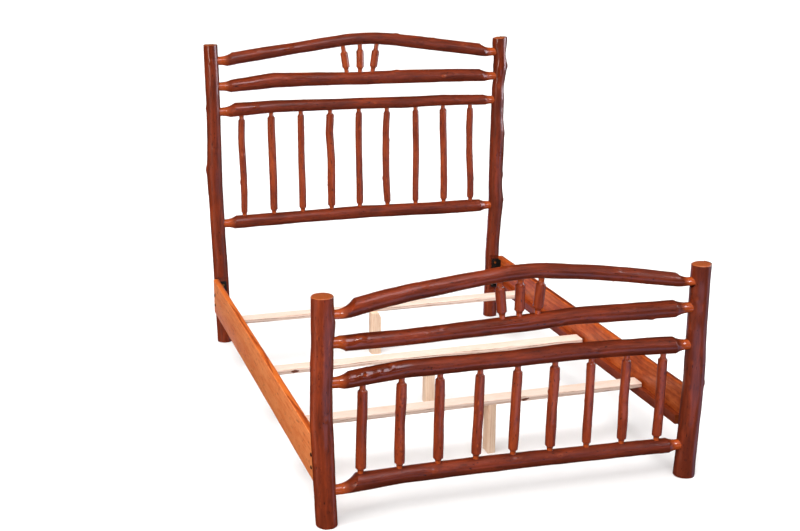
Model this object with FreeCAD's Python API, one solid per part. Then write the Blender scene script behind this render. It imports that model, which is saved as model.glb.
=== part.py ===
# Rustic log bed. The headboard and the footboard are each two log posts, four log rails,
# nine upright spindles and a fan of three short ones, held by round tenons in blind bores.
# Two plank side rails are bolted to steel angle brackets on flats of the posts. Cleats on
# the side rails carry three loose slats, each with a leg under its middle.
# Millimetres. +X is to the right seen from the foot, +Y towards the headboard, +Z up.
# The origin lies on the floor, midway between the four posts.

import FreeCAD, Part
import math
import os

Vector = FreeCAD.Vector
ACROSS = Vector(1, 0, 0)
LENGTHWAYS = Vector(0, 1, 0)
UP = Vector(0, 0, 1)

# The whole bed, between post centres
bed_width = 1524.0
bed_length = 2146.0

# Fits and clearances
wood_fit = 0.2            # radial play of a round tenon in its bore
bolt_fit = 0.15           # radial play of a bolt or screw in its hole
seat_gap = 0.3            # left between a tenon's shoulder and the log that it enters
glue_gap = 1.5            # left behind the end of a tenon
overrun = 2.0             # how far a cut runs past the surface

# Posts
head_post_height = 1524.0
head_post_diameter = 77.0
foot_post_height = 889.0
foot_post_diameter = 82.0
post_top_bevel = 4.0
post_foot_bevel = 7.0
flat_depth = 12.0         # cut into a post for the side rail and its bracket
flat_margin = 9.0         # the flat runs this far above and below the side rail

# Log rails between the posts
rail_tenon_diameter = 42.0
rail_tenon_length = 44.0  # inside the post
rail_neck = 10.0          # of the tenon that shows beside the post
rail_shoulder = 40.0      # flare from the neck out to the log
head_crest_diameter = 58.0
head_crest_rise = 92.0
head_second_diameter = 64.0
head_second_bow = 20.0
head_third_diameter = 56.0
head_third_bow = 16.0
head_lower_diameter = 62.0
head_lower_bow = 8.0
foot_crest_diameter = 57.0
foot_crest_rise = 105.0
foot_second_diameter = 62.0
foot_second_bow = 15.0
foot_third_diameter = 66.0
foot_third_bow = 24.0
foot_lower_diameter = 65.0
foot_lower_bow = 26.0

# Spindles
head_spindle_diameter = 36.0
foot_spindle_diameter = 39.0
fan_spindle_diameter = 35.0
spindle_tenon_diameter = 23.0
spindle_tenon_length = 24.0   # inside the rail
spindle_neck = 6.0            # of the tenon that shows beside the rail
spindle_shoulder = 12.0       # flare from the neck out to the log
spindle_count = 9

# Side rails and the cleats along their inner faces
side_rail_height = 175.0
side_rail_thickness = 24.0
side_rail_lift = 168.0        # its lower edge above the floor
side_rail_overhang = 33.0     # its outer face beyond the post centres
side_rail_bevel = 2.0
cleat_height = 40.0
cleat_thickness = 25.0
cleat_lift = 10.0             # above the side rail's lower edge
cleat_setback = 74.0          # from the side rail's end to the cleat's end

# Slats and their legs
slat_width = 70.0
slat_thickness = 20.0
slat_play = 13.0              # between a slat's end and the side rail
slat_bevel = 1.5
leg_width = 40.0
leg_depth = 54.0
leg_wane = 22.0               # the missing top corner of the first leg

# Angle brackets at the corners
bracket_height = 160.0
bracket_leg = 40.0
bracket_thickness = 5.0
bracket_corner = 6.0
bracket_drop = 13.0           # from the side rail's top edge to the bracket's top

# Carriage bolts through the side rail and the bracket
bolt_diameter = 8.0
bolt_head_diameter = 18.0
bolt_head_height = 5.5
bolt_neck_length = 4.5        # the square under the head
bolt_spacing = 51.0
bolt_drop = 15.0              # of the pair below the middle of the side rail
bolt_inset = 28.0             # from the side rail's end
bolt_tail = 3.0               # past the nut
nut_across_flats = 13.0
nut_height = 6.5
washer_diameter = 17.0
washer_thickness = 1.6

# Lag bolts through the bracket into the post
lag_diameter = 8.0
lag_length = 45.0             # past the bracket
lag_head_across_flats = 12.0
lag_head_height = 5.5
lag_end_distance = 19.0       # from either end of the bracket
lag_inset = 22.0              # from the bracket's outer corner

# Countersunk wood screws in the cleats and slats
screw_diameter = 4.4
screw_head_diameter = 9.0
screw_head_height = 3.0
screw_sink = 0.5              # the head lies this far below the surface
screw_bite = 14.0             # of a cleat screw in the side rail
leg_screw_bite = 40.0         # of a slat screw in the leg
cleat_screw_count = 5

# Where the rails' tenons enter the posts, as shares of the posts' height
rail_names = ("crest", "second", "third", "lower")
head_rail_height_shares = (0.9540, 0.8708, 0.7881, 0.4127)
foot_rail_height_shares = (0.9213, 0.8065, 0.6344, 0.1552)

# Halfway along the flare of a log's shoulder, how far it has opened from tenon to log
flare_opening_share = 0.27

# Slats and their legs: places as shares of the bed's length and width, leg sizes as shares of
# the usual leg, and how far a leg stands out in front of its slat
slat_names = ("head", "middle", "foot")
slat_place_shares = (0.330, -0.011, -0.2875)
leg_place_shares = (-0.030, 0.001, 0.0466)
leg_width_shares = (1.17, 1.05, 0.78)
leg_depth_shares = (0.93, 0.93, 1.15)
leg_forward_shares = (0.50, 0.0, 0.0)

# The outermost cleat screws, as a share of half the cleat's length from its middle
cleat_screw_reach_share = 0.94

# Spindle places across the bed, in spacings of the spindles, at their feet and at their tops
head_spindle_foot_shares = (-4.07, -3.06, -2.06, -1.05, -0.05, 0.94, 1.96, 3.0, 4.0)
head_spindle_top_shares = (-4.09, -3.1, -2.1, -1.09, -0.09, 0.9, 1.93, 2.92, 3.91)
foot_spindle_foot_shares = (-4.09, -3.09, -2.08, -1.08, -0.08, 0.93, 1.95, 2.95, 3.97)
foot_spindle_top_shares = (-4.02, -3.04, -2.06, -1.01, -0.01, 1.0, 2.0, 2.99, 4.03)
head_fan_foot_shares = (-0.47, -0.04, 0.36)
head_fan_top_shares = (-0.65, -0.04, 0.57)
foot_fan_foot_shares = (-0.45, -0.03, 0.43)
foot_fan_top_shares = (-0.60, -0.03, 0.55)

# Girth of each spindle, and how far its middle bows sideways, as shares of its diameter
head_spindle_girth_shares = (0.93, 1.06, 0.98, 1.11, 0.97, 1.01, 0.92, 1.01, 0.98)
foot_spindle_girth_shares = (1.03, 1.02, 1.00, 1.00, 1.00, 1.02, 0.93, 0.97, 0.99)
head_spindle_bow_shares = (
    (0.07, 0.0, -0.12), (0.02, 0.0, -0.03), (0.0, -0.04, -0.03),
    (0.0, 0.04, -0.12), (0.0, -0.04, -0.06), (-0.14, -0.19, -0.16),
    (0.0, 0.11, 0.02), (0.07, 0.05, -0.02), (0.02, -0.12, -0.11))
foot_spindle_bow_shares = (
    (0.0, 0.0, 0.02), (-0.02, -0.05, 0.0), (0.0, -0.02, 0.0),
    (0.0, 0.03, 0.0), (0.0, 0.0, 0.0), (-0.02, -0.03, 0.02),
    (0.0, 0.02, 0.0), (0.02, -0.04, 0.0), (0.03, 0.04, 0.0))
fan_bow_shares = (0.0, 0.02, 0.0)
spindle_station_shares = (0.0, 0.2, 0.5, 0.8, 1.0)
spindle_station_girth_shares = (0.99, 1.02, 1.0, 1.0, 0.96)

# Posts from the floor up: place along the height, girth, sway across the bed and sway
# lengthways, the last three as shares of the diameter
head_left_post_shares = (
    (0.0, 1.0, 0.26, 0.0), (0.22, 0.95, 0.115, 0.01), (0.36, 0.95, 0.058, 0.02),
    (0.46, 0.94, 0.006, 0.02), (0.53, 1.0, -0.066, 0.01), (0.59, 1.03, -0.095, 0.01),
    (0.65, 0.95, -0.05, 0.0), (0.7, 0.89, -0.035, -0.01), (0.76, 0.9, -0.008, -0.01),
    (0.83, 0.92, -0.02, -0.01), (0.93, 0.89, -0.065, 0.0), (1.0, 0.95, -0.07, 0.0))
head_right_post_shares = (
    (0.0, 0.96, -0.3, 0.0), (0.12, 0.94, -0.27, 0.0), (0.25, 0.93, -0.235, 0.01),
    (0.33, 0.94, -0.148, 0.01), (0.38, 0.99, -0.1, 0.01), (0.43, 1.06, -0.065, 0.01),
    (0.485, 0.96, -0.129, 0.01), (0.55, 0.97, -0.125, 0.0), (0.62, 1.02, -0.105, 0.0),
    (0.67, 1.02, -0.093, 0.0), (0.72, 0.89, -0.144, -0.01), (0.8, 0.86, -0.112, -0.01),
    (0.855, 0.88, -0.1, -0.01), (0.9, 0.98, -0.05, 0.0), (0.935, 0.92, -0.1, 0.0),
    (1.0, 1.04, -0.12, 0.0))
foot_left_post_shares = (
    (0.0, 0.98, 0.11, 0.0), (0.12, 1.0, 0.045, 0.0), (0.3, 1.02, -0.04, 0.0), (0.48, 1.03, -0.1, 0.0),
    (0.62, 1.01, -0.078, 0.01), (0.72, 1.04, -0.046, 0.01), (0.79, 1.0, -0.02, 0.0),
    (0.88, 1.01, 0.0, 0.0), (1.0, 0.99, -0.075, 0.0))
foot_right_post_shares = (
    (0.0, 1.06, -0.25, 0.0), (0.18, 1.08, -0.12, 0.0), (0.33, 1.07, -0.075, 0.0),
    (0.48, 1.035, -0.055, 0.0), (0.62, 0.99, -0.085, 0.01), (0.74, 0.98, -0.105, 0.01),
    (0.86, 0.95, -0.1, 0.0), (1.0, 0.95, -0.08, 0.0))

# Log rails from left to right between their tapers: place, girth and sway lengthways as
# shares of the diameter, and lift as a share of the rail's rise or bow
head_crest_shares = (
    (0.0, 1.08, 0.0, 0.06), (0.17, 1.05, 0.03, 0.39), (0.28, 1.03, 0.05, 0.59), (0.39, 1.0, 0.05, 0.8),
    (0.46, 0.97, 0.04, 0.94), (0.54, 1.0, 0.03, 0.97), (0.61, 1.07, 0.02, 0.9), (0.72, 1.1, 0.0, 0.68),
    (0.83, 1.09, -0.03, 0.46), (1.0, 1.11, 0.0, 0.1))
head_second_shares = (
    (0.0, 1.0, 0.0, 0.04), (0.17, 1.16, 0.03, 1.06), (0.33, 1.06, 0.02, 0.97),
    (0.5, 1.02, -0.02, 0.66), (0.67, 1.1, -0.04, 0.78), (0.83, 1.04, -0.02, 0.63),
    (1.0, 1.02, 0.0, 0.3))
head_third_shares = (
    (0.0, 1.25, 0.0, 0.37), (0.06, 1.2, 0.0, 0.6), (0.17, 1.12, -0.02, 1.02),
    (0.33, 1.05, -0.04, 0.83), (0.5, 1.03, -0.02, 0.73), (0.67, 1.06, 0.03, 0.38),
    (0.83, 0.98, 0.02, 0.56), (1.0, 0.95, 0.0, 0.11))
head_lower_shares = (
    (0.0, 1.08, 0.0, 0.27), (0.17, 1.05, 0.03, 0.65), (0.33, 1.0, 0.05, 0.95), (0.5, 1.06, 0.03, 1.2),
    (0.67, 1.04, 0.0, 0.82), (0.83, 1.09, -0.03, 0.38), (1.0, 1.06, 0.0, 0.15))
foot_crest_shares = (
    (0.0, 1.13, 0.0, 0.18), (0.09, 1.15, -0.02, 0.42), (0.17, 1.1, -0.03, 0.58),
    (0.28, 1.08, -0.05, 0.73), (0.39, 1.02, -0.04, 0.89), (0.46, 1.0, -0.03, 0.97),
    (0.54, 0.99, -0.02, 0.99), (0.61, 1.02, 0.0, 0.9), (0.72, 1.01, 0.02, 0.72),
    (0.83, 1.0, 0.03, 0.51), (1.0, 0.97, 0.0, 0.14))
foot_second_shares = (
    (0.0, 0.97, 0.0, -0.42), (0.17, 0.97, 0.03, -0.46), (0.33, 1.03, 0.04, -0.22),
    (0.5, 1.04, 0.0, 0.09), (0.67, 1.07, -0.03, 0.8), (0.83, 1.1, -0.02, 0.41), (1.0, 1.12, 0.0, 0.05))
foot_third_shares = (
    (0.0, 0.94, 0.0, 0.23), (0.17, 1.02, -0.02, 1.04), (0.33, 0.99, -0.04, 0.91),
    (0.5, 0.99, -0.01, 0.8), (0.67, 1.01, 0.03, 0.81), (0.83, 1.01, 0.03, 0.55),
    (1.0, 1.05, 0.0, 0.12))
foot_lower_shares = (
    (0.0, 1.12, 0.0, 0.8), (0.17, 1.0, 0.03, 0.96), (0.33, 1.01, 0.04, 0.94), (0.5, 1.01, 0.02, 0.84),
    (0.67, 0.97, -0.02, 0.62), (0.83, 0.95, -0.03, 0.42), (1.0, 0.95, 0.0, 0.08))


# General helpers

def box_between(low, high):
    size = high - low
    return Part.makeBox(size.x, size.y, size.z, low)


def beveled_box(low, high, bevel, axis):
    # A sawn board whose four long edges, those along the axis, are eased.
    board = box_between(low, high)
    edges = [edge for edge in board.Edges if abs(edge.tangentAt(edge.FirstParameter).dot(axis)) > 0.5]
    return board.makeChamfer(bevel, edges)


def circle_wire(centre, axis, radius):
    return Part.Wire([Part.makeCircle(radius, centre, axis)])


class Log:
    # A peeled log: round sections square to one axis, each with a radius of its own and its
    # centre a little off the axis. A station is (distance, radius, side, rise).
    def __init__(self, origin, axis, side, stations):
        self.origin = origin
        self.axis = axis
        self.side = side
        self.rise = axis.cross(side)
        self.stations = sorted(stations)

    def at(self, distance):
        # Radius, side and rise at a distance along the axis, and the slope of the centreline.
        for first, second in zip(self.stations, self.stations[1:]):
            if distance <= second[0]:
                break
        run = second[0] - first[0]
        part = (distance - first[0]) / run
        radius, side, rise = [a + (b - a) * part for a, b in zip(first[1:], second[1:])]
        slope = math.hypot(second[2] - first[2], second[3] - first[3]) / run
        return radius, side, rise, slope

    def centre(self, distance):
        side, rise = self.at(distance)[1:3]
        return self.origin + self.axis * distance + self.side * side + self.rise * rise

    def solid(self):
        wires = []
        for distance, radius, side, rise in self.stations:
            middle = self.origin + self.axis * distance + self.side * side + self.rise * rise
            wires.append(circle_wire(middle, self.axis, radius))
        return Part.makeLoft(wires, True, True)


# Headboard and footboard

def make_post(x, y, height, diameter, rows):
    radius = diameter / 2
    stations = [(height * place, radius * girth, diameter * sway, diameter * lean)
                for place, girth, sway, lean in rows]
    foot, top = stations[0], stations[-1]
    stations[0] = (foot[0], foot[1] - post_foot_bevel, foot[2], foot[3])
    stations[-1] = (top[0] - post_top_bevel, top[1], top[2], top[3])
    stations.append((foot[0] + post_foot_bevel, foot[1], foot[2], foot[3]))
    stations.append((top[0], top[1] - post_top_bevel, top[2], top[3]))
    return Log(Vector(x, y, 0), UP, ACROSS, stations)


def turned_end(end, neck_end, tenon_radius, first):
    # The stations of one turned end: the tenon with its neck, and the middle of the hollow
    # flare that opens to the log's first station.
    opening = flare_opening_share
    flare = (neck_end + (first[0] - neck_end) / 2, tenon_radius + (first[1] - tenon_radius) * opening,
             first[2] * opening, first[3] * opening)
    return [(end, tenon_radius, 0, 0), (neck_end, tenon_radius, 0, 0), flare]


def make_rail(left_post, right_post, y, height, diameter, lift, rows):
    # A log rail along X, from a tenon in the left post to one in the right post.
    tenon_radius = rail_tenon_diameter / 2
    left_radius, left_slope = left_post.at(height)[::3]
    right_radius, right_slope = right_post.at(height)[::3]
    left_face = left_post.centre(height).x + left_radius
    right_face = right_post.centre(height).x - right_radius
    left_neck = left_face + seat_gap + tenon_radius * left_slope + rail_neck
    right_neck = right_face - seat_gap - tenon_radius * right_slope - rail_neck
    body_start = left_neck + rail_shoulder
    body_end = right_neck - rail_shoulder
    body = [(body_start + (body_end - body_start) * place, diameter / 2 * girth, diameter * sway,
             lift * height_share) for place, girth, sway, height_share in rows]
    stations = body + turned_end(left_face - rail_tenon_length, left_neck, tenon_radius, body[0])
    stations += turned_end(right_face + rail_tenon_length, right_neck, tenon_radius, body[-1])
    return Log(Vector(0, y, height), ACROSS, LENGTHWAYS, stations)


def make_spindle(lower, upper, foot_x, top_x, diameter, bows):
    # An upright log from a tenon in the lower rail to one in the upper rail. It stands on the
    # line between the two rails' centres, so it leans where its foot and top places differ.
    foot = lower.centre(foot_x)
    top = upper.centre(top_x)
    axis = (top - foot).normalize()
    length = foot.distanceToPoint(top)
    tilt = math.tan(axis.getAngle(UP))
    tenon_radius = spindle_tenon_diameter / 2
    lower_radius, lower_slope = lower.at(foot_x)[::3]
    upper_radius, upper_slope = upper.at(top_x)[::3]
    lower_neck = lower_radius + seat_gap + tenon_radius * (tilt + lower_slope) + spindle_neck
    upper_neck = length - upper_radius - seat_gap - tenon_radius * (tilt + upper_slope) - spindle_neck
    body_start = lower_neck + spindle_shoulder
    body_end = upper_neck - spindle_shoulder
    sways = (0,) + tuple(bows) + (0,)
    body = [(body_start + (body_end - body_start) * place, diameter / 2 * girth, diameter * sway, 0)
            for place, girth, sway in zip(spindle_station_shares, spindle_station_girth_shares, sways)]
    stations = body + turned_end(lower_radius - spindle_tenon_length, lower_neck, tenon_radius, body[0])
    stations += turned_end(length - upper_radius + spindle_tenon_length, upper_neck, tenon_radius, body[-1])
    side = (ACROSS - axis * ACROSS.dot(axis)).normalize()
    return Log(foot, axis, side, stations)


def tenon_bore(log, at_start):
    # The blind bore for one of a log's two tenons, as far out as its neck reaches.
    end, neck_end = log.stations[:2] if at_start else log.stations[:-3:-1]
    direction = log.axis if at_start else log.axis * -1
    start = log.origin + log.axis * end[0] - direction * glue_gap
    length = glue_gap + abs(neck_end[0] - end[0])
    return Part.makeCylinder(end[1] + wood_fit, length, start, direction)


def make_board(name, side, height, diameter, rows, height_shares, rails, spindles, fan):
    # The logs and bores of one end of the bed. side is +1 at the head and -1 at the foot.
    y = side * bed_length / 2
    posts = {"left": make_post(-bed_width / 2, y, height, diameter, rows[0]),
             "right": make_post(bed_width / 2, y, height, diameter, rows[1])}
    logs = {}
    for rail, height_share, (rail_diameter, lift, shares) in zip(rail_names, height_shares, rails):
        logs[rail] = make_rail(posts["left"], posts["right"], y, height * height_share,
                               rail_diameter, lift, shares)
    spacing = bed_width / (spindle_count + 1)
    uprights = {}
    for group, lower, upper, spindle_diameter, feet, tops, girths, bows in (
            ("spindle", "lower", "third") + spindles, ("fan", "second", "crest") + fan):
        for number, (foot_share, top_share, girth, bow) in enumerate(zip(feet, tops, girths, bows), 1):
            uprights[f"{group}_{number}"] = (lower, upper, make_spindle(
                logs[lower], logs[upper], foot_share * spacing, top_share * spacing,
                spindle_diameter * girth, bow))
    solids = {}
    for key, post in posts.items():
        bores = [tenon_bore(log, key == "left") for log in logs.values()]
        flat = post_flat(post, side, diameter)
        solids[f"{name}_post_{key}"] = post.solid().cut(bores + [flat])
    for rail, log in logs.items():
        bores = [tenon_bore(upright, lower == rail) for lower, upper, upright in uprights.values()
                 if rail in (lower, upper)]
        solids[f"{name}_{rail}_rail"] = log.solid().cut(bores)
    for key, (lower, upper, upright) in uprights.items():
        solids[f"{name}_{key}"] = upright.solid()
    return solids


def flat_y(side, diameter):
    # The flat on a post's inner side, where the side rail's end and the bracket seat.
    return side * (bed_length / 2 - diameter / 2 + flat_depth)


def post_flat(post, side, diameter):
    face = flat_y(side, diameter)
    reach = face - side * diameter
    centre_x = post.origin.x
    low = Vector(centre_x - diameter, min(face, reach), side_rail_lift - flat_margin)
    high = Vector(centre_x + diameter, max(face, reach), side_rail_lift + side_rail_height + flat_margin)
    return box_between(low, high)


# Side rails, cleats and corners. hand is -1 on the left and +1 on the right.

def side_rail_face(hand, inner):
    x = bed_width / 2 + side_rail_overhang - (side_rail_thickness if inner else 0)
    return hand * x


def ordered_box(first, second):
    low = Vector(min(first.x, second.x), min(first.y, second.y), min(first.z, second.z))
    high = Vector(max(first.x, second.x), max(first.y, second.y), max(first.z, second.z))
    return low, high


def corner_list():
    # Each corner as its name, hand, end (+1 head, -1 foot) and the flat that it seats on.
    ends = (("head", 1, head_post_diameter), ("foot", -1, foot_post_diameter))
    return [(f"{end}_{hand_name}", hand, side, flat_y(side, diameter))
            for end, side, diameter in ends for hand_name, hand in (("left", -1), ("right", 1))]


def bolt_places(hand, side, flat):
    # The outer ends of a corner's two carriage bolts, on the side rail's outer face.
    middle = side_rail_lift + side_rail_height / 2 - bolt_drop
    y = flat - side * bolt_inset
    return [Vector(side_rail_face(hand, False), y, middle + step * bolt_spacing / 2) for step in (1, -1)]


def lag_places(hand, side, flat):
    # The points where a corner's two lag bolts pass the post's flat.
    top = side_rail_lift + side_rail_height - bracket_drop
    x = side_rail_face(hand, True) - hand * lag_inset
    return [Vector(x, flat, top - lag_end_distance),
            Vector(x, flat, top - bracket_height + lag_end_distance)]


def screw_places(hand):
    # Heads of a cleat's screws, on its inner face.
    reach = (flat_y(1, head_post_diameter) - flat_y(-1, foot_post_diameter)) / 2 - cleat_setback
    middle = (flat_y(1, head_post_diameter) + flat_y(-1, foot_post_diameter)) / 2
    x = side_rail_face(hand, True) - hand * cleat_thickness
    z = side_rail_lift + cleat_lift + cleat_height / 2
    step = 2 * reach * cleat_screw_reach_share / (cleat_screw_count - 1)
    return [Vector(x, middle + (number - (cleat_screw_count - 1) / 2) * step, z)
            for number in range(cleat_screw_count)]


def cylinder_along(radius, start, direction, length):
    return Part.makeCylinder(radius, length, start, direction)


def square_neck(place, hand, across, length):
    # The square under a carriage bolt's head, which sinks into the side rail's outer face.
    inner = place - Vector(hand * length, 0, 0)
    half = Vector(0, across / 2, across / 2)
    low, high = ordered_box(place + half, inner - half)
    return box_between(low, high)


def make_side_rail(hand):
    first = Vector(side_rail_face(hand, False), flat_y(-1, foot_post_diameter), side_rail_lift)
    second = Vector(side_rail_face(hand, True), flat_y(1, head_post_diameter),
                    side_rail_lift + side_rail_height)
    low, high = ordered_box(first, second)
    rail = beveled_box(low, high, side_rail_bevel, LENGTHWAYS)
    inwards = ACROSS * -hand
    cuts = []
    for name, corner_hand, side, flat in corner_list():
        if corner_hand != hand:
            continue
        for place in bolt_places(hand, side, flat):
            cuts.append(cylinder_along(bolt_diameter / 2 + bolt_fit, place - inwards * overrun, inwards,
                                       side_rail_thickness + 2 * overrun))
            cuts.append(square_neck(place, hand, bolt_diameter + 2 * bolt_fit,
                                    bolt_neck_length + bolt_fit))
    for place in screw_places(hand):
        cuts.append(cylinder_along(screw_diameter / 2 + bolt_fit, place, inwards * -1,
                                   cleat_thickness + screw_bite + glue_gap))
    return rail.cut(cuts)


def make_cleat(hand):
    inner = side_rail_face(hand, True)
    bottom = side_rail_lift + cleat_lift
    first = Vector(inner, flat_y(-1, foot_post_diameter) + cleat_setback, bottom)
    second = Vector(inner - hand * cleat_thickness, flat_y(1, head_post_diameter) - cleat_setback,
                    bottom + cleat_height)
    low, high = ordered_box(first, second)
    cleat = box_between(low, high)
    return cleat.cut([screw_hole(place, ACROSS * hand, cleat_thickness + overrun)
                      for place in screw_places(hand)])


def screw_hole(place, direction, depth):
    # A countersunk hole for a wood screw, from the face at place along the direction.
    shank = cylinder_along(screw_diameter / 2 + bolt_fit, place, direction, depth)
    sink = cylinder_along(screw_head_diameter / 2 + bolt_fit, place - direction * overrun, direction,
                          overrun + screw_sink)
    cone = Part.makeCone(screw_head_diameter / 2 + bolt_fit, screw_diameter / 2 + bolt_fit,
                         screw_head_height, place + direction * screw_sink, direction)
    return shank.fuse([sink, cone])


def make_screw(place, direction, length):
    head = Part.makeCone(screw_head_diameter / 2, screw_diameter / 2, screw_head_height,
                         place + direction * screw_sink, direction)
    shank = cylinder_along(screw_diameter / 2, place + direction * screw_sink, direction, length)
    return head.fuse(shank)


def make_bracket(hand, side, flat):
    # A steel angle with one flange on the post's flat and the other on the side rail.
    corner = side_rail_face(hand, True)
    top = side_rail_lift + side_rail_height - bracket_drop
    bottom = top - bracket_height
    inner_x = corner - hand * bracket_leg
    inner_y = flat - side * bracket_leg
    post_flange = rounded_flange(Vector(corner, flat, bottom),
                                 Vector(inner_x, flat - side * bracket_thickness, top), LENGTHWAYS, inner_x)
    rail_flange = rounded_flange(Vector(corner, flat, bottom),
                                 Vector(corner - hand * bracket_thickness, inner_y, top), ACROSS, inner_y)
    holes = []
    for place in bolt_places(hand, side, flat):
        start = place - ACROSS * (hand * (side_rail_thickness - overrun))
        holes.append(cylinder_along(bolt_diameter / 2 + bolt_fit, start, ACROSS * -hand,
                                    bracket_thickness + 2 * overrun))
    for place in lag_places(hand, side, flat):
        holes.append(cylinder_along(lag_diameter / 2 + bolt_fit, place + LENGTHWAYS * (side * overrun),
                                    LENGTHWAYS * -side, bracket_thickness + 2 * overrun))
    return post_flange.fuse(rail_flange).removeSplitter().cut(holes)


def rounded_flange(first, second, normal, free_edge):
    # A flat bar whose two corners at its free edge are rounded.
    low, high = ordered_box(first, second)
    bar = box_between(low, high)
    across = LENGTHWAYS if normal == ACROSS else ACROSS
    edges = []
    for edge in bar.Edges:
        middle = edge.CenterOfMass
        if abs(middle.dot(across) - free_edge) < bracket_thickness / 2 and \
                abs(edge.tangentAt(edge.FirstParameter).dot(normal)) > 0.5:
            edges.append(edge)
    return bar.makeFillet(bracket_corner, edges)


def hexagon_prism(centre, axis, across_flats, height):
    # A hexagon head or nut standing on centre along the axis.
    radius = across_flats / math.sqrt(3)
    side = UP
    other = axis.cross(side)
    corners = [centre + side * (radius * math.cos(math.radians(60 * k))) +
               other * (radius * math.sin(math.radians(60 * k))) for k in range(7)]
    return Part.Face(Part.makePolygon(corners)).extrude(axis * height)


def dome_head(place, outwards):
    # The low dome of a carriage bolt, a slice of a sphere on the side rail's outer face.
    half = bolt_head_diameter / 2
    ball = (half ** 2 + bolt_head_height ** 2) / (2 * bolt_head_height)
    centre = place + outwards * (bolt_head_height - ball)
    sphere = Part.makeSphere(ball, centre)
    slab = cylinder_along(bolt_head_diameter, place, outwards, bolt_head_height + overrun)
    return sphere.common(slab)


def make_carriage_bolt(place, hand):
    outwards = ACROSS * hand
    inwards = ACROSS * -hand
    length = side_rail_thickness + bracket_thickness + washer_thickness + nut_height + bolt_tail
    shank = cylinder_along(bolt_diameter / 2, place, inwards, length)
    neck = square_neck(place, hand, bolt_diameter, bolt_neck_length)
    return dome_head(place, outwards).fuse([shank, neck]).removeSplitter()


def make_washer(place, hand):
    start = place - ACROSS * (hand * (side_rail_thickness + bracket_thickness))
    ring = cylinder_along(washer_diameter / 2, start, ACROSS * -hand, washer_thickness)
    return ring.cut(cylinder_along(bolt_diameter / 2 + bolt_fit, start + ACROSS * (hand * overrun),
                                   ACROSS * -hand, washer_thickness + 2 * overrun))


def make_nut(place, hand):
    start = place - ACROSS * (hand * (side_rail_thickness + bracket_thickness + washer_thickness))
    nut = hexagon_prism(start, ACROSS * -hand, nut_across_flats, nut_height)
    return nut.cut(cylinder_along(bolt_diameter / 2 + bolt_fit, start + ACROSS * (hand * overrun),
                                  ACROSS * -hand, nut_height + 2 * overrun))


def make_lag(place, side):
    # A hexagon lag bolt whose head stands on the bracket.
    seat = place - LENGTHWAYS * (side * bracket_thickness)
    head = hexagon_prism(seat, LENGTHWAYS * -side, lag_head_across_flats, lag_head_height)
    shank = cylinder_along(lag_diameter / 2, seat, LENGTHWAYS * side, bracket_thickness + lag_length)
    return head.fuse(shank)


def lag_hole(place, side):
    return cylinder_along(lag_diameter / 2 + bolt_fit, place - LENGTHWAYS * (side * overrun),
                          LENGTHWAYS * side, overrun + lag_length + glue_gap)


# Slats and legs

def slat_seat():
    return side_rail_lift + cleat_lift + cleat_height


def leg_box(slat):
    # The leg's low and high corners. Its front follows the slat's front edge.
    width = leg_width * leg_width_shares[slat]
    depth = leg_depth * leg_depth_shares[slat]
    x = bed_width * leg_place_shares[slat]
    front = bed_length * slat_place_shares[slat] - slat_width / 2 - leg_depth * leg_forward_shares[slat]
    return Vector(x - width / 2, front, 0), Vector(x + width / 2, front + depth, slat_seat())


def leg_screw_places(slat):
    # Heads of the two screws through a slat into its leg, over the part of the leg under it.
    low, high = leg_box(slat)
    back = min(high.y, bed_length * slat_place_shares[slat] + slat_width / 2)
    front = max(low.y, bed_length * slat_place_shares[slat] - slat_width / 2)
    y = (back + front) / 2
    step = (high.x - low.x) / 4
    x = (low.x + high.x) / 2
    return [Vector(x + hand * step, y, slat_seat() + slat_thickness) for hand in (-1, 1)]


def make_slat(slat):
    reach = bed_width / 2 + side_rail_overhang - side_rail_thickness - slat_play
    y = bed_length * slat_place_shares[slat]
    low = Vector(-reach, y - slat_width / 2, slat_seat())
    high = Vector(reach, y + slat_width / 2, slat_seat() + slat_thickness)
    board = beveled_box(low, high, slat_bevel, ACROSS)
    return board.cut([screw_hole(place, UP * -1, slat_thickness + overrun)
                      for place in leg_screw_places(slat)])


def make_leg(slat):
    low, high = leg_box(slat)
    leg = box_between(low, high)
    if slat_names[slat] == "head":
        wane = Part.Face(Part.makePolygon([
            Vector(high.x - leg_wane / 2, low.y, high.z), Vector(high.x, low.y, high.z),
            Vector(high.x, low.y, high.z - leg_wane), Vector(high.x - leg_wane / 2, low.y, high.z)]))
        leg = leg.cut(wane.extrude(Vector(0, high.y - low.y, 0)))
    return leg.cut([cylinder_along(screw_diameter / 2 + bolt_fit, place, UP * -1,
                                   slat_thickness + leg_screw_bite + glue_gap)
                    for place in leg_screw_places(slat)])


# Assembly

def headboard():
    rails = ((head_crest_diameter, head_crest_rise, head_crest_shares),
             (head_second_diameter, head_second_bow, head_second_shares),
             (head_third_diameter, head_third_bow, head_third_shares),
             (head_lower_diameter, head_lower_bow, head_lower_shares))
    spindles = (head_spindle_diameter, head_spindle_foot_shares, head_spindle_top_shares,
                head_spindle_girth_shares, head_spindle_bow_shares)
    fan = (fan_spindle_diameter, head_fan_foot_shares, head_fan_top_shares,
           (1.0, 1.0, 1.0), (fan_bow_shares,) * 3)
    return make_board("head", 1, head_post_height, head_post_diameter,
                      (head_left_post_shares, head_right_post_shares), head_rail_height_shares,
                      rails, spindles, fan)


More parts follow.
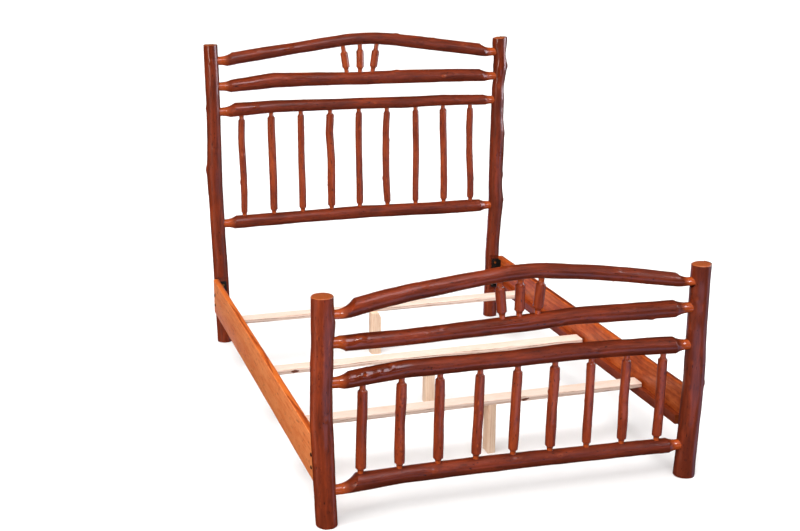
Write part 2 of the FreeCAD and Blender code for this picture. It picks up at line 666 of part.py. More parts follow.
def footboard():
    rails = ((foot_crest_diameter, foot_crest_rise, foot_crest_shares),
             (foot_second_diameter, foot_second_bow, foot_second_shares),
             (foot_third_diameter, foot_third_bow, foot_third_shares),
             (foot_lower_diameter, foot_lower_bow, foot_lower_shares))
    spindles = (foot_spindle_diameter, foot_spindle_foot_shares, foot_spindle_top_shares,
                foot_spindle_girth_shares, foot_spindle_bow_shares)
    fan = (fan_spindle_diameter, foot_fan_foot_shares, foot_fan_top_shares,
           (1.0, 1.0, 1.0), (fan_bow_shares,) * 3)
    return make_board("foot", -1, foot_post_height, foot_post_diameter,
                      (foot_left_post_shares, foot_right_post_shares), foot_rail_height_shares,
                      rails, spindles, fan)


def frame_and_fasteners():
    solids = {}
    for hand_name, hand in (("left", -1), ("right", 1)):
        solids[f"side_rail_{hand_name}"] = make_side_rail(hand)
        solids[f"cleat_{hand_name}"] = make_cleat(hand)
    bolts, washers, nuts, lags, screws = [], [], [], [], []
    for name, hand, side, flat in corner_list():
        solids[f"bracket_{name}"] = make_bracket(hand, side, flat)
        for place in bolt_places(hand, side, flat):
            bolts.append(make_carriage_bolt(place, hand))
            washers.append(make_washer(place, hand))
            nuts.append(make_nut(place, hand))
        for place in lag_places(hand, side, flat):
            lags.append(make_lag(place, side))
    for hand in (-1, 1):
        for place in screw_places(hand):
            screws.append(make_screw(place, ACROSS * hand, cleat_thickness + screw_bite))
    solids["carriage_bolts"] = Part.Compound(bolts)
    solids["bolt_washers"] = Part.Compound(washers)
    solids["bolt_nuts"] = Part.Compound(nuts)
    solids["lag_bolts"] = Part.Compound(lags)
    solids["cleat_screws"] = Part.Compound(screws)
    return solids


def slats_and_legs():
    solids = {}
    for slat, name in enumerate(slat_names):
        solids[f"slat_{name}"] = make_slat(slat)
        solids[f"slat_leg_{name}"] = make_leg(slat)
        solids[f"slat_screws_{name}"] = Part.Compound([
            make_screw(place, UP * -1, slat_thickness + leg_screw_bite) for place in leg_screw_places(slat)])
    return solids


def bore_posts_for_lags(solids):
    for name, hand, side, flat in corner_list():
        end, hand_name = name.split("_")
        key = f"{end}_post_{hand_name}"
        solids[key] = solids[key].cut([lag_hole(place, side) for place in lag_places(hand, side, flat)])


def main():
    solids = {}
    solids.update(headboard())
    solids.update(footboard())
    solids.update(frame_and_fasteners())
    solids.update(slats_and_legs())
    bore_posts_for_lags(solids)
    os.makedirs("parts", exist_ok=True)
    for node, shape in solids.items():
        shape.exportStep(f"parts/{node}.step")
    print(f"{len(solids)} nodes, {sum(len(shape.Solids) for shape in solids.values())} solids")


main()
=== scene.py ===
# Rustic log bed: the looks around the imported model
import bpy
import math
import random
import numpy as np
from mathutils import Matrix, Vector
from mathutils.geometry import convex_hull_2d


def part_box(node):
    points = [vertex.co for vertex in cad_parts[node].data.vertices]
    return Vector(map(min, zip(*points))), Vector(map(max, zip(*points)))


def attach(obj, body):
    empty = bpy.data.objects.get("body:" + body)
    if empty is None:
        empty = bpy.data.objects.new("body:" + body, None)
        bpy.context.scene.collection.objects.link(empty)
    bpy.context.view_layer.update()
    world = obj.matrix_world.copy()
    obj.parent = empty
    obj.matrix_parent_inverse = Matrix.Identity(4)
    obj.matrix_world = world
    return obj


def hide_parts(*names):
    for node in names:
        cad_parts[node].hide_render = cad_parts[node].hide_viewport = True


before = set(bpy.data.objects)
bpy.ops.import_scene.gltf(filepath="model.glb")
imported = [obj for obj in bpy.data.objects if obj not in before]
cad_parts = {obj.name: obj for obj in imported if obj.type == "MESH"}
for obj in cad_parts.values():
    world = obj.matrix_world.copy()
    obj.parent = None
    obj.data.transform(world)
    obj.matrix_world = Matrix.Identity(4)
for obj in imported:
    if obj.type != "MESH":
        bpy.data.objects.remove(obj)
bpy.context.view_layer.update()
print("frame loaded:", len(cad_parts), "nodes")


# Small helpers

def colour(code):
    # sRGB hex to the linear colour that a socket takes
    parts = [int(code[i:i + 2], 16) / 255 for i in (1, 3, 5)]
    return [p / 12.92 if p <= 0.04045 else ((p + 0.055) / 1.055) ** 2.4 for p in parts] + [1]


def add(tree, kind, settings, inputs):
    # one shader node with its settings, values and links; stops are a colour ramp's
    new = tree.nodes.new("ShaderNode" + kind)
    for name, value in settings.items():
        if name == "stops":
            ramp = new.color_ramp.elements
            while len(ramp) < len(value):
                ramp.new(0.5)
            for element, (place, code) in zip(ramp, value):
                element.position = place
                element.color = colour(code)
        else:
            setattr(new, name, value)
    for name, value in inputs.items():
        if isinstance(value, bpy.types.NodeSocket):
            tree.links.new(value, new.inputs[name])
        else:
            new.inputs[name].default_value = value
    return new


def newMaterial(name):
    material = bpy.data.materials.new(name)
    material.use_nodes = True
    material.node_tree.nodes.clear()
    return material, material.node_tree


def finishMaterial(tree, surface):
    add(tree, "OutputMaterial", {}, {"Surface": surface})


def vertexPlaces(mesh):
    # one row of x, y and z for every vertex
    places = np.empty(len(mesh.vertices) * 3, np.float32)
    mesh.vertices.foreach_get("co", places)
    return places.reshape(-1, 3)


def numbers(items, name):
    values = np.empty(len(items), np.int32)
    items.foreach_get(name, values)
    return values


def deselect():
    if bpy.context.mode != "OBJECT":
        bpy.ops.object.mode_set(mode="OBJECT")
    bpy.ops.object.select_all(action="DESELECT")


def takeUp(piece):
    # makes one piece the selected and active one
    deselect()
    piece.select_set(True)
    bpy.context.view_layer.objects.active = piece


def applyAll(piece):
    takeUp(piece)
    for modifier in list(piece.modifiers):
        bpy.ops.object.modifier_apply(modifier=modifier.name)


def settle(piece):
    # moves the piece's place into its mesh
    takeUp(piece)
    bpy.ops.object.transform_apply(location=True, rotation=True, scale=True)


def mendShell(nearest):
    # merges the active mesh's doubles and turns its faces outwards
    bpy.ops.object.mode_set(mode="EDIT")
    bpy.ops.mesh.select_all(action="SELECT")
    bpy.ops.mesh.remove_doubles(threshold=nearest)
    bpy.ops.mesh.normals_make_consistent(inside=False)
    bpy.ops.object.mode_set(mode="OBJECT")


def dress(node, material):
    # a CAD node keeps its shape and gets a better finish
    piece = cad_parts[node]
    piece.data.materials.clear()
    piece.data.materials.append(material)


# Camera

cameraView = {
    "place": (-1.8536, -5.3792, 2.3039),
    "yaw": 17.7715,      # degrees, towards +X
    "pitch": 16.262,     # degrees down
    "roll": 0.3656,
    "focal": 59.16,      # mm on a 36 mm sensor
}

bpy.ops.object.camera_add()
camera = bpy.context.object
camera.name = "photo_camera"
turn = (Matrix.Rotation(math.radians(-cameraView["yaw"]), 4, "Z")
        @ Matrix.Rotation(math.radians(90 - cameraView["pitch"]), 4, "X")
        @ Matrix.Rotation(math.radians(cameraView["roll"]), 4, "Z"))
camera.matrix_world = Matrix.Translation(cameraView["place"]) @ turn
camera.data.lens = cameraView["focal"]
camera.data.sensor_width = 36
bpy.context.scene.camera = camera
print("camera set")


# Studio: a white floor that runs out of sight under a white backdrop, a dim room, one wide lamp
# overhead and softboxes. Floor and backdrop throw no light back and don't mirror in the lacquer:
# the room below the floor stands in for that bounce.

studio = {
    "floorHalf": 60.0,
    "room": 0.25,             # strength of the room's light from above
    "bounce": 0.60,           # and from below, where it fades over this height of the view
    "horizon": (-0.15, 0.1),
    "lamps": (   # wide lamps that don't mirror: name, power, spread, tilt and turn in degrees
        ("overhead", 3.5, 65, 14, -35),
        ("fill", 1.2, 90, 66, -50),
    ),
    "boxes": (   # name, place, aimed at, width, height, power, tint, whether it only mirrors
        ("key", (-1.9, -5.2, 5.2), (0.0, -0.2, 0.6), 1.0, 0.6, 60, "#FFFFFF", False),
        ("left", (-4.5, -2.3, 1.7), (-0.6, -0.6, 0.5), 0.7, 2.4, 50, "#FFEFE6", False),
        ("back", (1.5, 4.8, 5.8), (0.0, 0.4, 0.7), 2.4, 1.6, 34, "#FFFFFF", False),
        ("sparkle", (0.2, -4.0, 4.9), (-0.3, -1.0, 0.5), 1.9, 2.3, 62, "#F4F0FF", True),
        ("sideHigh", (3.5, -3.1, 2.6), (0.7, -1.0, 0.8), 0.9, 1.2, 44, "#FAF6FF", True),
        ("front", (1.8, -5.2, 2.2), (0.2, -0.5, 0.6), 3.2, 0.6, 11, "#DCD8FF", True),
        ("sideBox", (4.3, -0.3, 1.6), (0.7, -0.6, 0.8), 2.6, 2.2, 190, "#F4F0FF", True),
        ("ceiling", (0.9, -1.2, 4.6), (0.0, -0.4, 0.6), 2.2, 1.6, 7, "#FFE6DE", True),
        ("floorGlow", (0.45, -2.75, -0.05), (0.45, -2.75, 3.0), 2.3, 1.7, 18, "#D6D0FF", True),
        ("leftGlow", (-4.9, -1.0, -0.6), (-0.6, 0.6, 0.8), 1.2, 2.6, 14, "#FFDCCB", True),
        ("rightGlow", (3.5, -1.6, -0.6), (0.4, 0.4, 0.8), 1.4, 2.6, 14, "#D6D0FF", True),
        ("backGlow", (0.0, 4.5, -0.6), (0.0, 0.4, 0.6), 2.4, 1.6, 12, "#D6D0FF", True),
    ),
}

bpy.context.scene.view_settings.view_transform = "Standard"
bpy.context.scene.view_settings.look = "None"
world = bpy.data.worlds.new("studio_room")
bpy.context.scene.world = world
world.use_nodes = True
world.node_tree.nodes.clear()
sky = world.node_tree
upward = add(sky, "SeparateXYZ", {}, {0: add(sky, "TexCoord", {}, {}).outputs["Generated"]}).outputs["Z"]
glow = add(sky, "MapRange", {"interpolation_type": "SMOOTHSTEP"}, {
    0: upward, 1: studio["horizon"][0], 2: studio["horizon"][1], 3: studio["bounce"],
    4: studio["room"]}).outputs[0]
room = add(sky, "Background", {}, {"Color": colour("#FFFAF6"), "Strength": glow})
add(sky, "OutputWorld", {}, {"Surface": room.outputs[0]})
world.cycles_visibility.glossy = False

for name, power, spread, tilt, turn in studio["lamps"]:
    bpy.ops.object.light_add(type="SUN", location=(0, 0, 6))
    lamp = bpy.context.object
    lamp.name = name + "_lamp"
    lamp.data.energy = power
    lamp.data.angle = math.radians(spread)
    lamp.rotation_euler = (math.radians(tilt), 0, math.radians(turn))
    lamp.visible_glossy = False

for name, place, target, width, height, power, tint, mirrorsOnly in studio["boxes"]:
    bpy.ops.object.light_add(type="AREA", location=place)
    light = bpy.context.object
    light.name = name + "_softbox"
    light.data.shape = "RECTANGLE"
    light.data.size = width
    light.data.size_y = height
    light.data.energy = power
    light.data.color = colour(tint)[:3]
    aim = Vector(target) - Vector(place)
    light.rotation_euler = aim.to_track_quat("-Z", "Y").to_euler()
    light.visible_camera = False
    light.visible_diffuse = not mirrorsOnly
    light.visible_glossy = name != "back"

deselect()
bpy.ops.mesh.primitive_plane_add(size=2 * studio["floorHalf"])
floor = bpy.context.object
floor.name = "studio_floor"
floorPaper, tree = newMaterial("matt_white_floor_paper")
paper = add(tree, "BsdfPrincipled", {}, {"Base Color": colour("#F6F6F6"), "Roughness": 0.9,
                                         "Specular IOR Level": 0.1})
finishMaterial(tree, paper.outputs[0])
floor.data.materials.append(floorPaper)
deselect()
bpy.ops.mesh.primitive_uv_sphere_add(segments=64, ring_count=32, radius=studio["floorHalf"])
backdrop = bpy.context.object
backdrop.name = "studio_backdrop"
backdropCloth, tree = newMaterial("lit_white_backdrop_cloth")
finishMaterial(tree, add(tree, "Emission", {}, {"Color": colour("#FFFFFF"), "Strength": 1.0}).outputs[0])
backdrop.data.materials.append(backdropCloth)
for screen in (floor, backdrop):
    screen.visible_diffuse = False
    screen.visible_glossy = False
    screen.visible_shadow = False
print("studio set")


# Finishes of the logs. Every log carries these attributes: logRun, its own straightened
# coordinates in metres with the length first; logTone, from dark (0) to orange (1); knotReach, the
# distance to the nearest knot in radii of that knot; knotShow, how orange that knot is; turned, 1 on
# a tenon's neck; rim, 1 along the edge that a tenon cutter leaves; shine, 1 where lacquer lies thick.

logFinish = {
    "dark": "#4A170A", "brown": "#67250E", "red": "#833012", "orange": "#A6461B",
    "patches": "#B85223", "mottle": "#3B1710", "flecks": "#230B06",
    "knotHeart": "#2A0D07", "knotRing": "#B04A1B", "neck": "#B34E20", "rimWear": "#CF7034",
}


def logWood():
    # Peeled pine, stained red brown and brushed with clear lacquer. The peeled surface keeps
    # long shallow strokes, so the lacquer breaks the light into long soft streaks. The necks
    # that the tenon cutter turned are smoother, more orange and glossier.
    material, tree = newMaterial("lacquered_peeled_pine")
    run = add(tree, "Attribute", {"attribute_name": "logRun"}, {}).outputs["Vector"]
    tone, reach, show, turned, rim, shine = (
        add(tree, "Attribute", {"attribute_name": name}, {}).outputs["Fac"]
        for name in ("logTone", "knotReach", "knotShow", "turned", "rim", "shine"))
    smooth = add(tree, "Math", {"operation": "MAXIMUM"}, {0: turned, 1: shine}).outputs[0]
    # the fibres bend round a knot
    nearKnot = add(tree, "MapRange", {"interpolation_type": "SMOOTHSTEP"},
                   {0: reach, 1: 0.8, 2: 3.0, 3: 0.006, 4: 0.0}).outputs[0]
    bent = add(tree, "VectorMath", {"operation": "ADD"}, {0: run, 1: nearKnot}).outputs[0]
    patterns = {}
    for name, place, shift, scale, detail, roughness in (
            # broad cloudy tone, about 200 mm long and 50 mm wide
            ("broad", run, (0, 0, 0), (5, 20, 20), 4, 0.65),
            # peeling strokes, about 160 mm long and 10 mm wide
            ("strokes", bent, (0, 0, 0), (6, 95, 95), 4, 0.6),
            # fibres, 1.5 mm wide, drawn coarser than the real 0.05 mm so that they show
            ("fibres", bent, (0, 0, 0), (22, 650, 650), 3, 0.6),
            # orange patches where the peeling went deeper, about 80 mm long and 25 mm wide
            ("patches", run, (7, 3, 1), (12, 42, 42), 4, 0.65),
            # dark clouds of stain, about 60 mm long and 15 mm wide
            ("mottle", bent, (2, 9, 4), (17, 62, 62), 5, 0.7),
            # dark flecks of inner bark, 3 mm wide and up to 10 mm long
            ("flecks", run, (0, 0, 0), (55, 170, 170), 2, 0.5)):
        spread = add(tree, "Mapping", {}, {"Vector": place, "Location": shift, "Scale": scale}).outputs[0]
        patterns[name] = add(tree, "TexNoise", {}, {"Vector": spread, "Scale": 1, "Detail": detail,
                                                    "Roughness": roughness}).outputs["Fac"]
    strokes, fibres = patterns["strokes"], patterns["fibres"]
    mixed = tone
    for name, share in (("broad", 1.6), ("strokes", 0.95), ("fibres", 0.45)):
        mixed = add(tree, "Math", {"operation": "MULTIPLY_ADD"},
                    {0: patterns[name], 1: share, 2: mixed}).outputs[0]
    depth = add(tree, "MapRange", {}, {0: mixed, 1: 0.85, 2: 2.3, 3: 0.0, 4: 1.0}).outputs[0]
    body = add(tree, "ValToRGB", {"stops": ((0.0, logFinish["dark"]), (0.36, logFinish["brown"]),
                                            (0.64, logFinish["red"]), (1.0, logFinish["orange"]))},
               {"Fac": depth}).outputs[0]
    # patches, stain and flecks: share of the log's tone, where each starts, is full, and its most
    for name, toneShare, start, full, most in (("patches", 0.16, 0.67, 0.80, 0.8),
                                               ("mottle", 0.0, 0.50, 0.70, 0.55),
                                               ("flecks", 0.0, 0.655, 0.72, 0.85)):
        level = add(tree, "Math", {"operation": "MULTIPLY_ADD"},
                    {0: tone, 1: toneShare, 2: patterns[name]}).outputs[0]
        mask = add(tree, "MapRange", {"interpolation_type": "SMOOTHSTEP"},
                   {0: level, 1: start, 2: full, 3: 0.0, 4: most}).outputs[0]
        body = add(tree, "Mix", {"data_type": "RGBA"},
                   {0: mask, 6: body, 7: colour(logFinish[name])}).outputs[2]
    # knots: a dark heart, then orange wood with rings, then the log's own colour
    ringWave = add(tree, "Math", {"operation": "SINE"}, {
        0: add(tree, "Math", {"operation": "MULTIPLY"}, {0: reach, 1: 17.0}).outputs[0]}).outputs[0]
    ringShade = add(tree, "MapRange", {}, {0: ringWave, 1: -1.0, 2: 1.0, 3: 0.55, 4: 1.0}).outputs[0]
    knotWood = add(tree, "Mix", {"data_type": "RGBA", "blend_type": "MULTIPLY"},
                   {0: 1.0, 6: colour(logFinish["knotRing"]), 7: ringShade}).outputs[2]
    heart = add(tree, "MapRange", {"interpolation_type": "SMOOTHSTEP"},
                {0: reach, 1: 0.2, 2: 0.45, 3: 0.95, 4: 0.0}).outputs[0]
    knotWood = add(tree, "Mix", {"data_type": "RGBA"},
                   {0: heart, 6: knotWood, 7: colour(logFinish["knotHeart"])}).outputs[2]
    knotMask = add(tree, "MapRange", {"interpolation_type": "SMOOTHSTEP"},
                   {0: reach, 1: 0.7, 2: 1.4, 3: 1.0, 4: 0.0}).outputs[0]
    knotMask = add(tree, "Math", {"operation": "MULTIPLY"}, {0: knotMask, 1: show}).outputs[0]
    body = add(tree, "Mix", {"data_type": "RGBA"}, {0: knotMask, 6: body, 7: knotWood}).outputs[2]
    # turned necks, streaked along the grain, and their worn rims
    neckShade = add(tree, "MapRange", {}, {0: fibres, 1: 0.3, 2: 0.7, 3: 0.7, 4: 1.15}).outputs[0]
    neckWood = add(tree, "Mix", {"data_type": "RGBA", "blend_type": "MULTIPLY"},
                   {0: 1.0, 6: colour(logFinish["neck"]), 7: neckShade}).outputs[2]
    body = add(tree, "Mix", {"data_type": "RGBA"}, {0: turned, 6: body, 7: neckWood}).outputs[2]
    wear = add(tree, "Math", {"operation": "MULTIPLY"}, {0: rim, 1: strokes}).outputs[0]
    wear = add(tree, "MapRange", {}, {0: wear, 1: 0.05, 2: 0.45, 3: 0.0, 4: 0.85}).outputs[0]
    body = add(tree, "Mix", {"data_type": "RGBA"},
               {0: wear, 6: body, 7: colour(logFinish["rimWear"])}).outputs[2]
    # strokes 0.7 mm high and fibres 0.1 mm, and much less of both where the log is smooth
    high = add(tree, "Math", {"operation": "MULTIPLY_ADD"}, {0: fibres, 1: 0.12, 2: strokes}).outputs[0]
    scrape = add(tree, "MapRange", {}, {0: smooth, 1: 0.0, 2: 1.0, 3: 1.0, 4: 0.06}).outputs[0]
    high = add(tree, "Math", {"operation": "MULTIPLY"}, {0: high, 1: scrape}).outputs[0]
    relief = add(tree, "Bump", {}, {"Strength": 1.0, "Distance": 0.0011, "Height": high}).outputs[0]
    rough = add(tree, "MapRange", {}, {0: strokes, 1: 0.3, 2: 0.7, 3: 0.36, 4: 0.5}).outputs[0]
    rough = add(tree, "Math", {"operation": "MULTIPLY_ADD"}, {0: smooth, 1: -0.18, 2: rough}).outputs[0]
    lacquer = add(tree, "MapRange", {}, {0: smooth, 1: 0.0, 2: 1.0, 3: 0.5, 4: 1.0}).outputs[0]
    wood = add(tree, "BsdfPrincipled", {}, {
        "Base Color": body, "Roughness": rough, "IOR": 1.3, "Normal": relief,
        "Coat Weight": lacquer, "Coat Roughness": 0.1, "Coat IOR": 1.5, "Coat Normal": relief})
    finishMaterial(tree, wood.outputs[0])
    return material


peeledLog = logWood()
turnedNeck = peeledLog.copy()     # the same wood and lacquer on what the tenon cutter turned
turnedNeck.name = "lacquered_turned_pine"

endFinish = {"ringWidth": 0.0034, "stops": ((0.2, "#762F14"), (0.5, "#9E4B21"), (0.8, "#B66432"))}


def sawnEnd():
    # End grain of the posts: year rings 3.4 mm apart and fine rays from the pith, stained orange.
    material, tree = newMaterial("lacquered_sawn_end_grain")
    run = add(tree, "Attribute", {"attribute_name": "logRun"}, {}).outputs["Vector"]
    flat = add(tree, "Mapping", {}, {"Vector": run, "Scale": (0, 1, 1)}).outputs[0]
    wobble = add(tree, "TexNoise", {}, {"Vector": flat, "Scale": 26, "Detail": 2}).outputs["Fac"]
    out = add(tree, "VectorMath", {"operation": "LENGTH"}, {0: flat}).outputs["Value"]
    out = add(tree, "Math", {"operation": "MULTIPLY_ADD"}, {0: wobble, 1: 0.012, 2: out}).outputs[0]
    ring = add(tree, "Math", {"operation": "MULTIPLY"},
               {0: out, 1: 2 * math.pi / endFinish["ringWidth"]}).outputs[0]
    ring = add(tree, "Math", {"operation": "SINE"}, {0: ring}).outputs[0]
    parts = add(tree, "SeparateXYZ", {}, {0: flat})
    angle = add(tree, "Math", {"operation": "ARCTAN2"}, {0: parts.outputs[1], 1: parts.outputs[2]}).outputs[0]
    rayPlace = add(tree, "CombineXYZ", {}, {0: angle, 1: out}).outputs[0]
    rayPlace = add(tree, "Mapping", {}, {"Vector": rayPlace, "Scale": (24, 30, 1)}).outputs[0]
    rays = add(tree, "TexNoise", {}, {"Vector": rayPlace, "Scale": 1, "Detail": 3}).outputs["Fac"]
    shade = add(tree, "Math", {"operation": "MULTIPLY_ADD"}, {0: ring, 1: 0.13, 2: rays}).outputs[0]
    body = add(tree, "ValToRGB", {"stops": endFinish["stops"]}, {"Fac": shade}).outputs[0]
    relief = add(tree, "Bump", {}, {"Strength": 0.6, "Distance": 0.0004, "Height": shade}).outputs[0]
    wood = add(tree, "BsdfPrincipled", {}, {
        "Base Color": body, "Roughness": 0.42, "IOR": 1.5, "Normal": relief,
        "Coat Weight": 0.5, "Coat Roughness": 0.15})
    finishMaterial(tree, wood.outputs[0])
    return material


endGrain = sawnEnd()

planedFinish = {"stops": ((0.25, "#9C4219"), (0.5, "#C95C24"), (0.8, "#E0803E"))}


def planedWood():
    # The posts' flats, planed by hand and lacquered: orange, with fibres 2.4 mm wide, coarser
    # than the real ones so that they show, and chatter marks 14 mm apart from the plane iron.
    material, tree = newMaterial("lacquered_planed_pine")
    run = add(tree, "Attribute", {"attribute_name": "logRun"}, {}).outputs["Vector"]
    fibrePlace = add(tree, "Mapping", {}, {"Vector": run, "Scale": (9, 420, 420)}).outputs[0]
    fibres = add(tree, "TexNoise", {}, {"Vector": fibrePlace, "Scale": 1, "Detail": 4,
                                        "Roughness": 0.6}).outputs["Fac"]
    chatter = add(tree, "TexWave", {"bands_direction": "X"}, {"Vector": run, "Scale": 22.0,
                                                              "Distortion": 1.5, "Detail": 1}).outputs["Fac"]
    shade = add(tree, "Math", {"operation": "MULTIPLY_ADD"}, {0: chatter, 1: 0.12, 2: fibres}).outputs[0]
    body = add(tree, "ValToRGB", {"stops": planedFinish["stops"]}, {"Fac": shade}).outputs[0]
    relief = add(tree, "Bump", {}, {"Strength": 0.7, "Distance": 0.0004, "Height": shade}).outputs[0]
    wood = add(tree, "BsdfPrincipled", {}, {
        "Base Color": body, "Roughness": 0.42, "IOR": 1.4, "Normal": relief,
        "Coat Weight": 0.3, "Coat Roughness": 0.15})
    finishMaterial(tree, wood.outputs[0])
    return material


planedFlat = planedWood()
print("log finishes made")


# Logs

logShape = {
    "ringSides": 48,
    "ringStep": 0.005,               # along the log
    "stationStep": 0.045,            # between the points of the log's curve
    "ridgeSize": (0.34, 0.035),      # long ridges: length and width in metres
    "ridgeHeight": 0.0016,
    "lumpSize": (0.13, 0.075),
    "lumpHeight": 0.0042,
    "knotReach": 2.2,                # a knot's dome ends this many radii from its middle
    "knotMost": 0.01,                # no knot stands higher or lies deeper
    "knotLeast": 0.00002,
    "knotFar": 6.0,                  # radii; as good as no knot
    "knotSqueeze": 0.4,              # a knot and a shiny spot are drawn out along the log
    "shineSqueeze": 0.6,
    "knotShow": 0.22,                # how orange a knot is, if its row says nothing
    "shoulderRun": (0.040, 0.009),   # rails, spindles
    "neckFade": (0.030, 0.005),      # the turned colour fades over this length of the flare,
    "neckRise": 0.012,               # and over this rise of it
    "rimWidth": 0.008,
    "endZone": 0.2,                  # every flare ends within this of the log's end
    "spareFoot": 0.02,               # what is sawn off a post
    "spareTop": 0.035,
    "footEase": 0.006,
    "smallKnots": (8, 5),            # knots all round: posts and rails, spindles
    "merge": 0.00005,                # doubles this near are one
    "runStep": 5.37,                 # moves each log's pattern on, so that no two are alike
    "smoothAngle": 32,               # degrees; sharper edges stay sharp
}

cutterShape = {
    "past": 0.01,          # how far a cutter stands out past the log's end
    "lip": (0.002, 0.02),  # the shoulder cutter's last step along and out
    "outside": 0.2,        # its outer radius
    "hollowSteps": 15,
    "hollowRun": 0.085,    # a longer flare's hollow ends before it is square to the log
    "sides": 64,
    "boreSides": 40,
    "boreFit": 0.0002,
    "glueGap": 0.0015,
    "merge": 0.00001,      # doubles this near are one
}

ringSearch = {
    "endSlice": 0.006,     # of each end, whose middle starts the log's line
    "slice": 0.00012,      # points this near one another along the log are one ring
    "gap": 0.0005,         # rings are at least this far apart
    "points": 12,          # a ring has at least so many
    "openTurn": 1.2,       # radians; a ring with a wider gap is part of a bore or a flat
}

woodKinds = {"peeled": 0, "turned": 1, "planed": 2, "sawn": 3}     # a log's finishes by number


def meshPlaces(node):
    places = vertexPlaces(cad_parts[node].data)
    return np.unique(np.round(places.astype(float), 6), axis=0)


def measureLog(node):
    # the log's line and girths, read from the rings of its CAD solid
    places = meshPlaces(node)
    low, high = places.min(axis=0), places.max(axis=0)
    longest = int(np.argmax(high - low))
    axis = np.eye(3)[longest]
    start, end = low, high
    for _ in range(4):
        along = places @ axis
        start = places[along < along.min() + ringSearch["endSlice"]].mean(axis=0)
        end = places[along > along.max() - ringSearch["endSlice"]].mean(axis=0)
        if "post" in node:
            start = (start + end) / 2
            break
        axis = (end - start) / np.linalg.norm(end - start)
    side = np.array((0.0, 1.0, 0.0)) if longest == 0 else np.array((1.0, 0.0, 0.0))
    side = side - axis * (side @ axis)
    side /= np.linalg.norm(side)
    rise = np.cross(axis, side)
    origin = start - axis * (start @ axis) if "post" in node else start
    along = (places - origin) @ axis
    across = np.stack(((places - origin) @ side, (places - origin) @ rise), axis=1)
    rings = []
    for step in np.unique(np.round(along, 4)):
        ring = across[np.abs(along - step) < ringSearch["slice"]]
        if len(ring) < ringSearch["points"] or rings and step - rings[-1][0] < ringSearch["gap"]:
            continue
        hull = ring[convex_hull_2d([Vector(point) for point in ring])]
        if len(hull) < ringSearch["points"]:
            continue
        fit = np.linalg.lstsq(np.c_[2 * hull, np.ones(len(hull))], (hull ** 2).sum(axis=1), rcond=None)[0]
        radius = math.sqrt(fit[2] + fit[0] ** 2 + fit[1] ** 2)
        turns = np.sort(np.arctan2(hull[:, 1] - fit[1], hull[:, 0] - fit[0]))
        if np.diff(np.append(turns, turns[0] + 2 * math.pi)).max() > ringSearch["openTurn"]:
            continue
        rings.append((float(step), float(fit[0]), float(fit[1]), radius))
    return {"node": node, "origin": origin, "axis": axis, "side": side, "rise": rise,
            "rings": np.array(rings)}


def spot(log, along, side, rise):
    return log["origin"] + log["axis"] * along + log["side"] * side + log["rise"] * rise


def tenon(log, atStart):
    # a tenon's end place, its way into the log, its length and its radius
    rings = log["rings"]
    end, neck = (rings[0], rings[1]) if atStart else (rings[-1], rings[-2])
    inward = log["axis"] if atStart else -log["axis"]
    return spot(log, end[0], 0, 0), inward, abs(neck[0] - end[0]), end[3]


def curveLog(log, stations):
    # a round bevelled curve through the stations, turned into a mesh
    deselect()
    bpy.ops.curve.primitive_bezier_curve_add()
    piece = bpy.context.object
    piece.matrix_world = Matrix.Identity(4)
    line = piece.data
    points = line.splines[0].bezier_points
    points.add(len(stations) - len(points))
    for point, (along, side, rise, radius) in zip(points, stations):
        point.co = spot(log, along, side, rise)
        point.radius = radius
        point.handle_left_type = point.handle_right_type = "AUTO"
    gap = (stations[-1][0] - stations[0][0]) / (len(stations) - 1)
    line.splines[0].radius_interpolation = "CARDINAL"
    line.resolution_u = max(4, round(gap / logShape["ringStep"]))
    line.bevel_depth = 1.0
    line.bevel_resolution = logShape["ringSides"] // 2 - 2
    line.use_fill_caps = True
    line.twist_mode = "MINIMUM"
    takeUp(piece)
    bpy.ops.object.convert(target="MESH")
    piece = bpy.context.object
    mendShell(logShape["merge"])
    return piece


def reliefTexture(name, size):
    texture = bpy.data.textures.new(name, "CLOUDS")
    texture.noise_scale = size
    texture.noise_depth = 1
    return texture


reliefs = {"lump": reliefTexture("log_lumps", 1.0), "ridge": reliefTexture("log_ridges", 1.0)}
guides = {}
for kind in reliefs:
    for axisName, turned in (("x", (0, math.pi / 2, 0)), ("z", (0, 0, 0))):
        bpy.ops.object.empty_add(rotation=turned)
        guide = bpy.context.object
        length, width = logShape[kind + "Size"]
        guide.scale = (width, width, length)
        guides[kind + axisName] = guide
bpy.context.view_layer.update()


def roughen(piece, axisName, strength):
    for kind, texture in reliefs.items():
        relief = piece.modifiers.new(kind, "DISPLACE")
        relief.texture = texture
        relief.texture_coords = "OBJECT"
        relief.texture_coords_object = guides[kind + axisName]
        relief.strength = logShape[kind + "Height"] * strength
        relief.mid_level = 0.5
    applyAll(piece)


def pushKnots(piece, knots):
    # each knot is a low dome, because its harder wood stands proud, and a torn one is a hollow
    places = vertexPlaces(piece.data)
    lift = np.zeros(len(places))
    for place, size, height, show in knots:
        near = np.clip(1 - np.linalg.norm(places - place, axis=1) / size / logShape["knotReach"], 0, 1)
        lift += near ** 2 * (3 - 2 * near) * height
    for name, way in (("proud", 1), ("torn", -1)):
        group = piece.vertex_groups.new(name=name)
        for index in np.nonzero(lift * way > logShape["knotLeast"])[0]:
            group.add([int(index)], min(1.0, float(lift[index] * way / logShape["knotMost"])), "REPLACE")
        push = piece.modifiers.new(name, "DISPLACE")
        push.vertex_group = name
        push.strength = logShape["knotMost"] * way
        push.mid_level = 0.0
    applyAll(piece)
    piece.vertex_groups.clear()


def markCutter(cutter, kind):
    # what the cutter leaves takes this one of the log's finishes
    for _ in range(3):
        cutter.data.materials.append(None)
    for face in cutter.data.polygons:
        face.material_index = woodKinds[kind]
    return cutter


def turnTo(cutter, place, way):
    turned = Vector(way).to_track_quat("Z", "X").to_matrix().to_4x4()
    cutter.matrix_world = Matrix.Translation(Vector(place)) @ turned


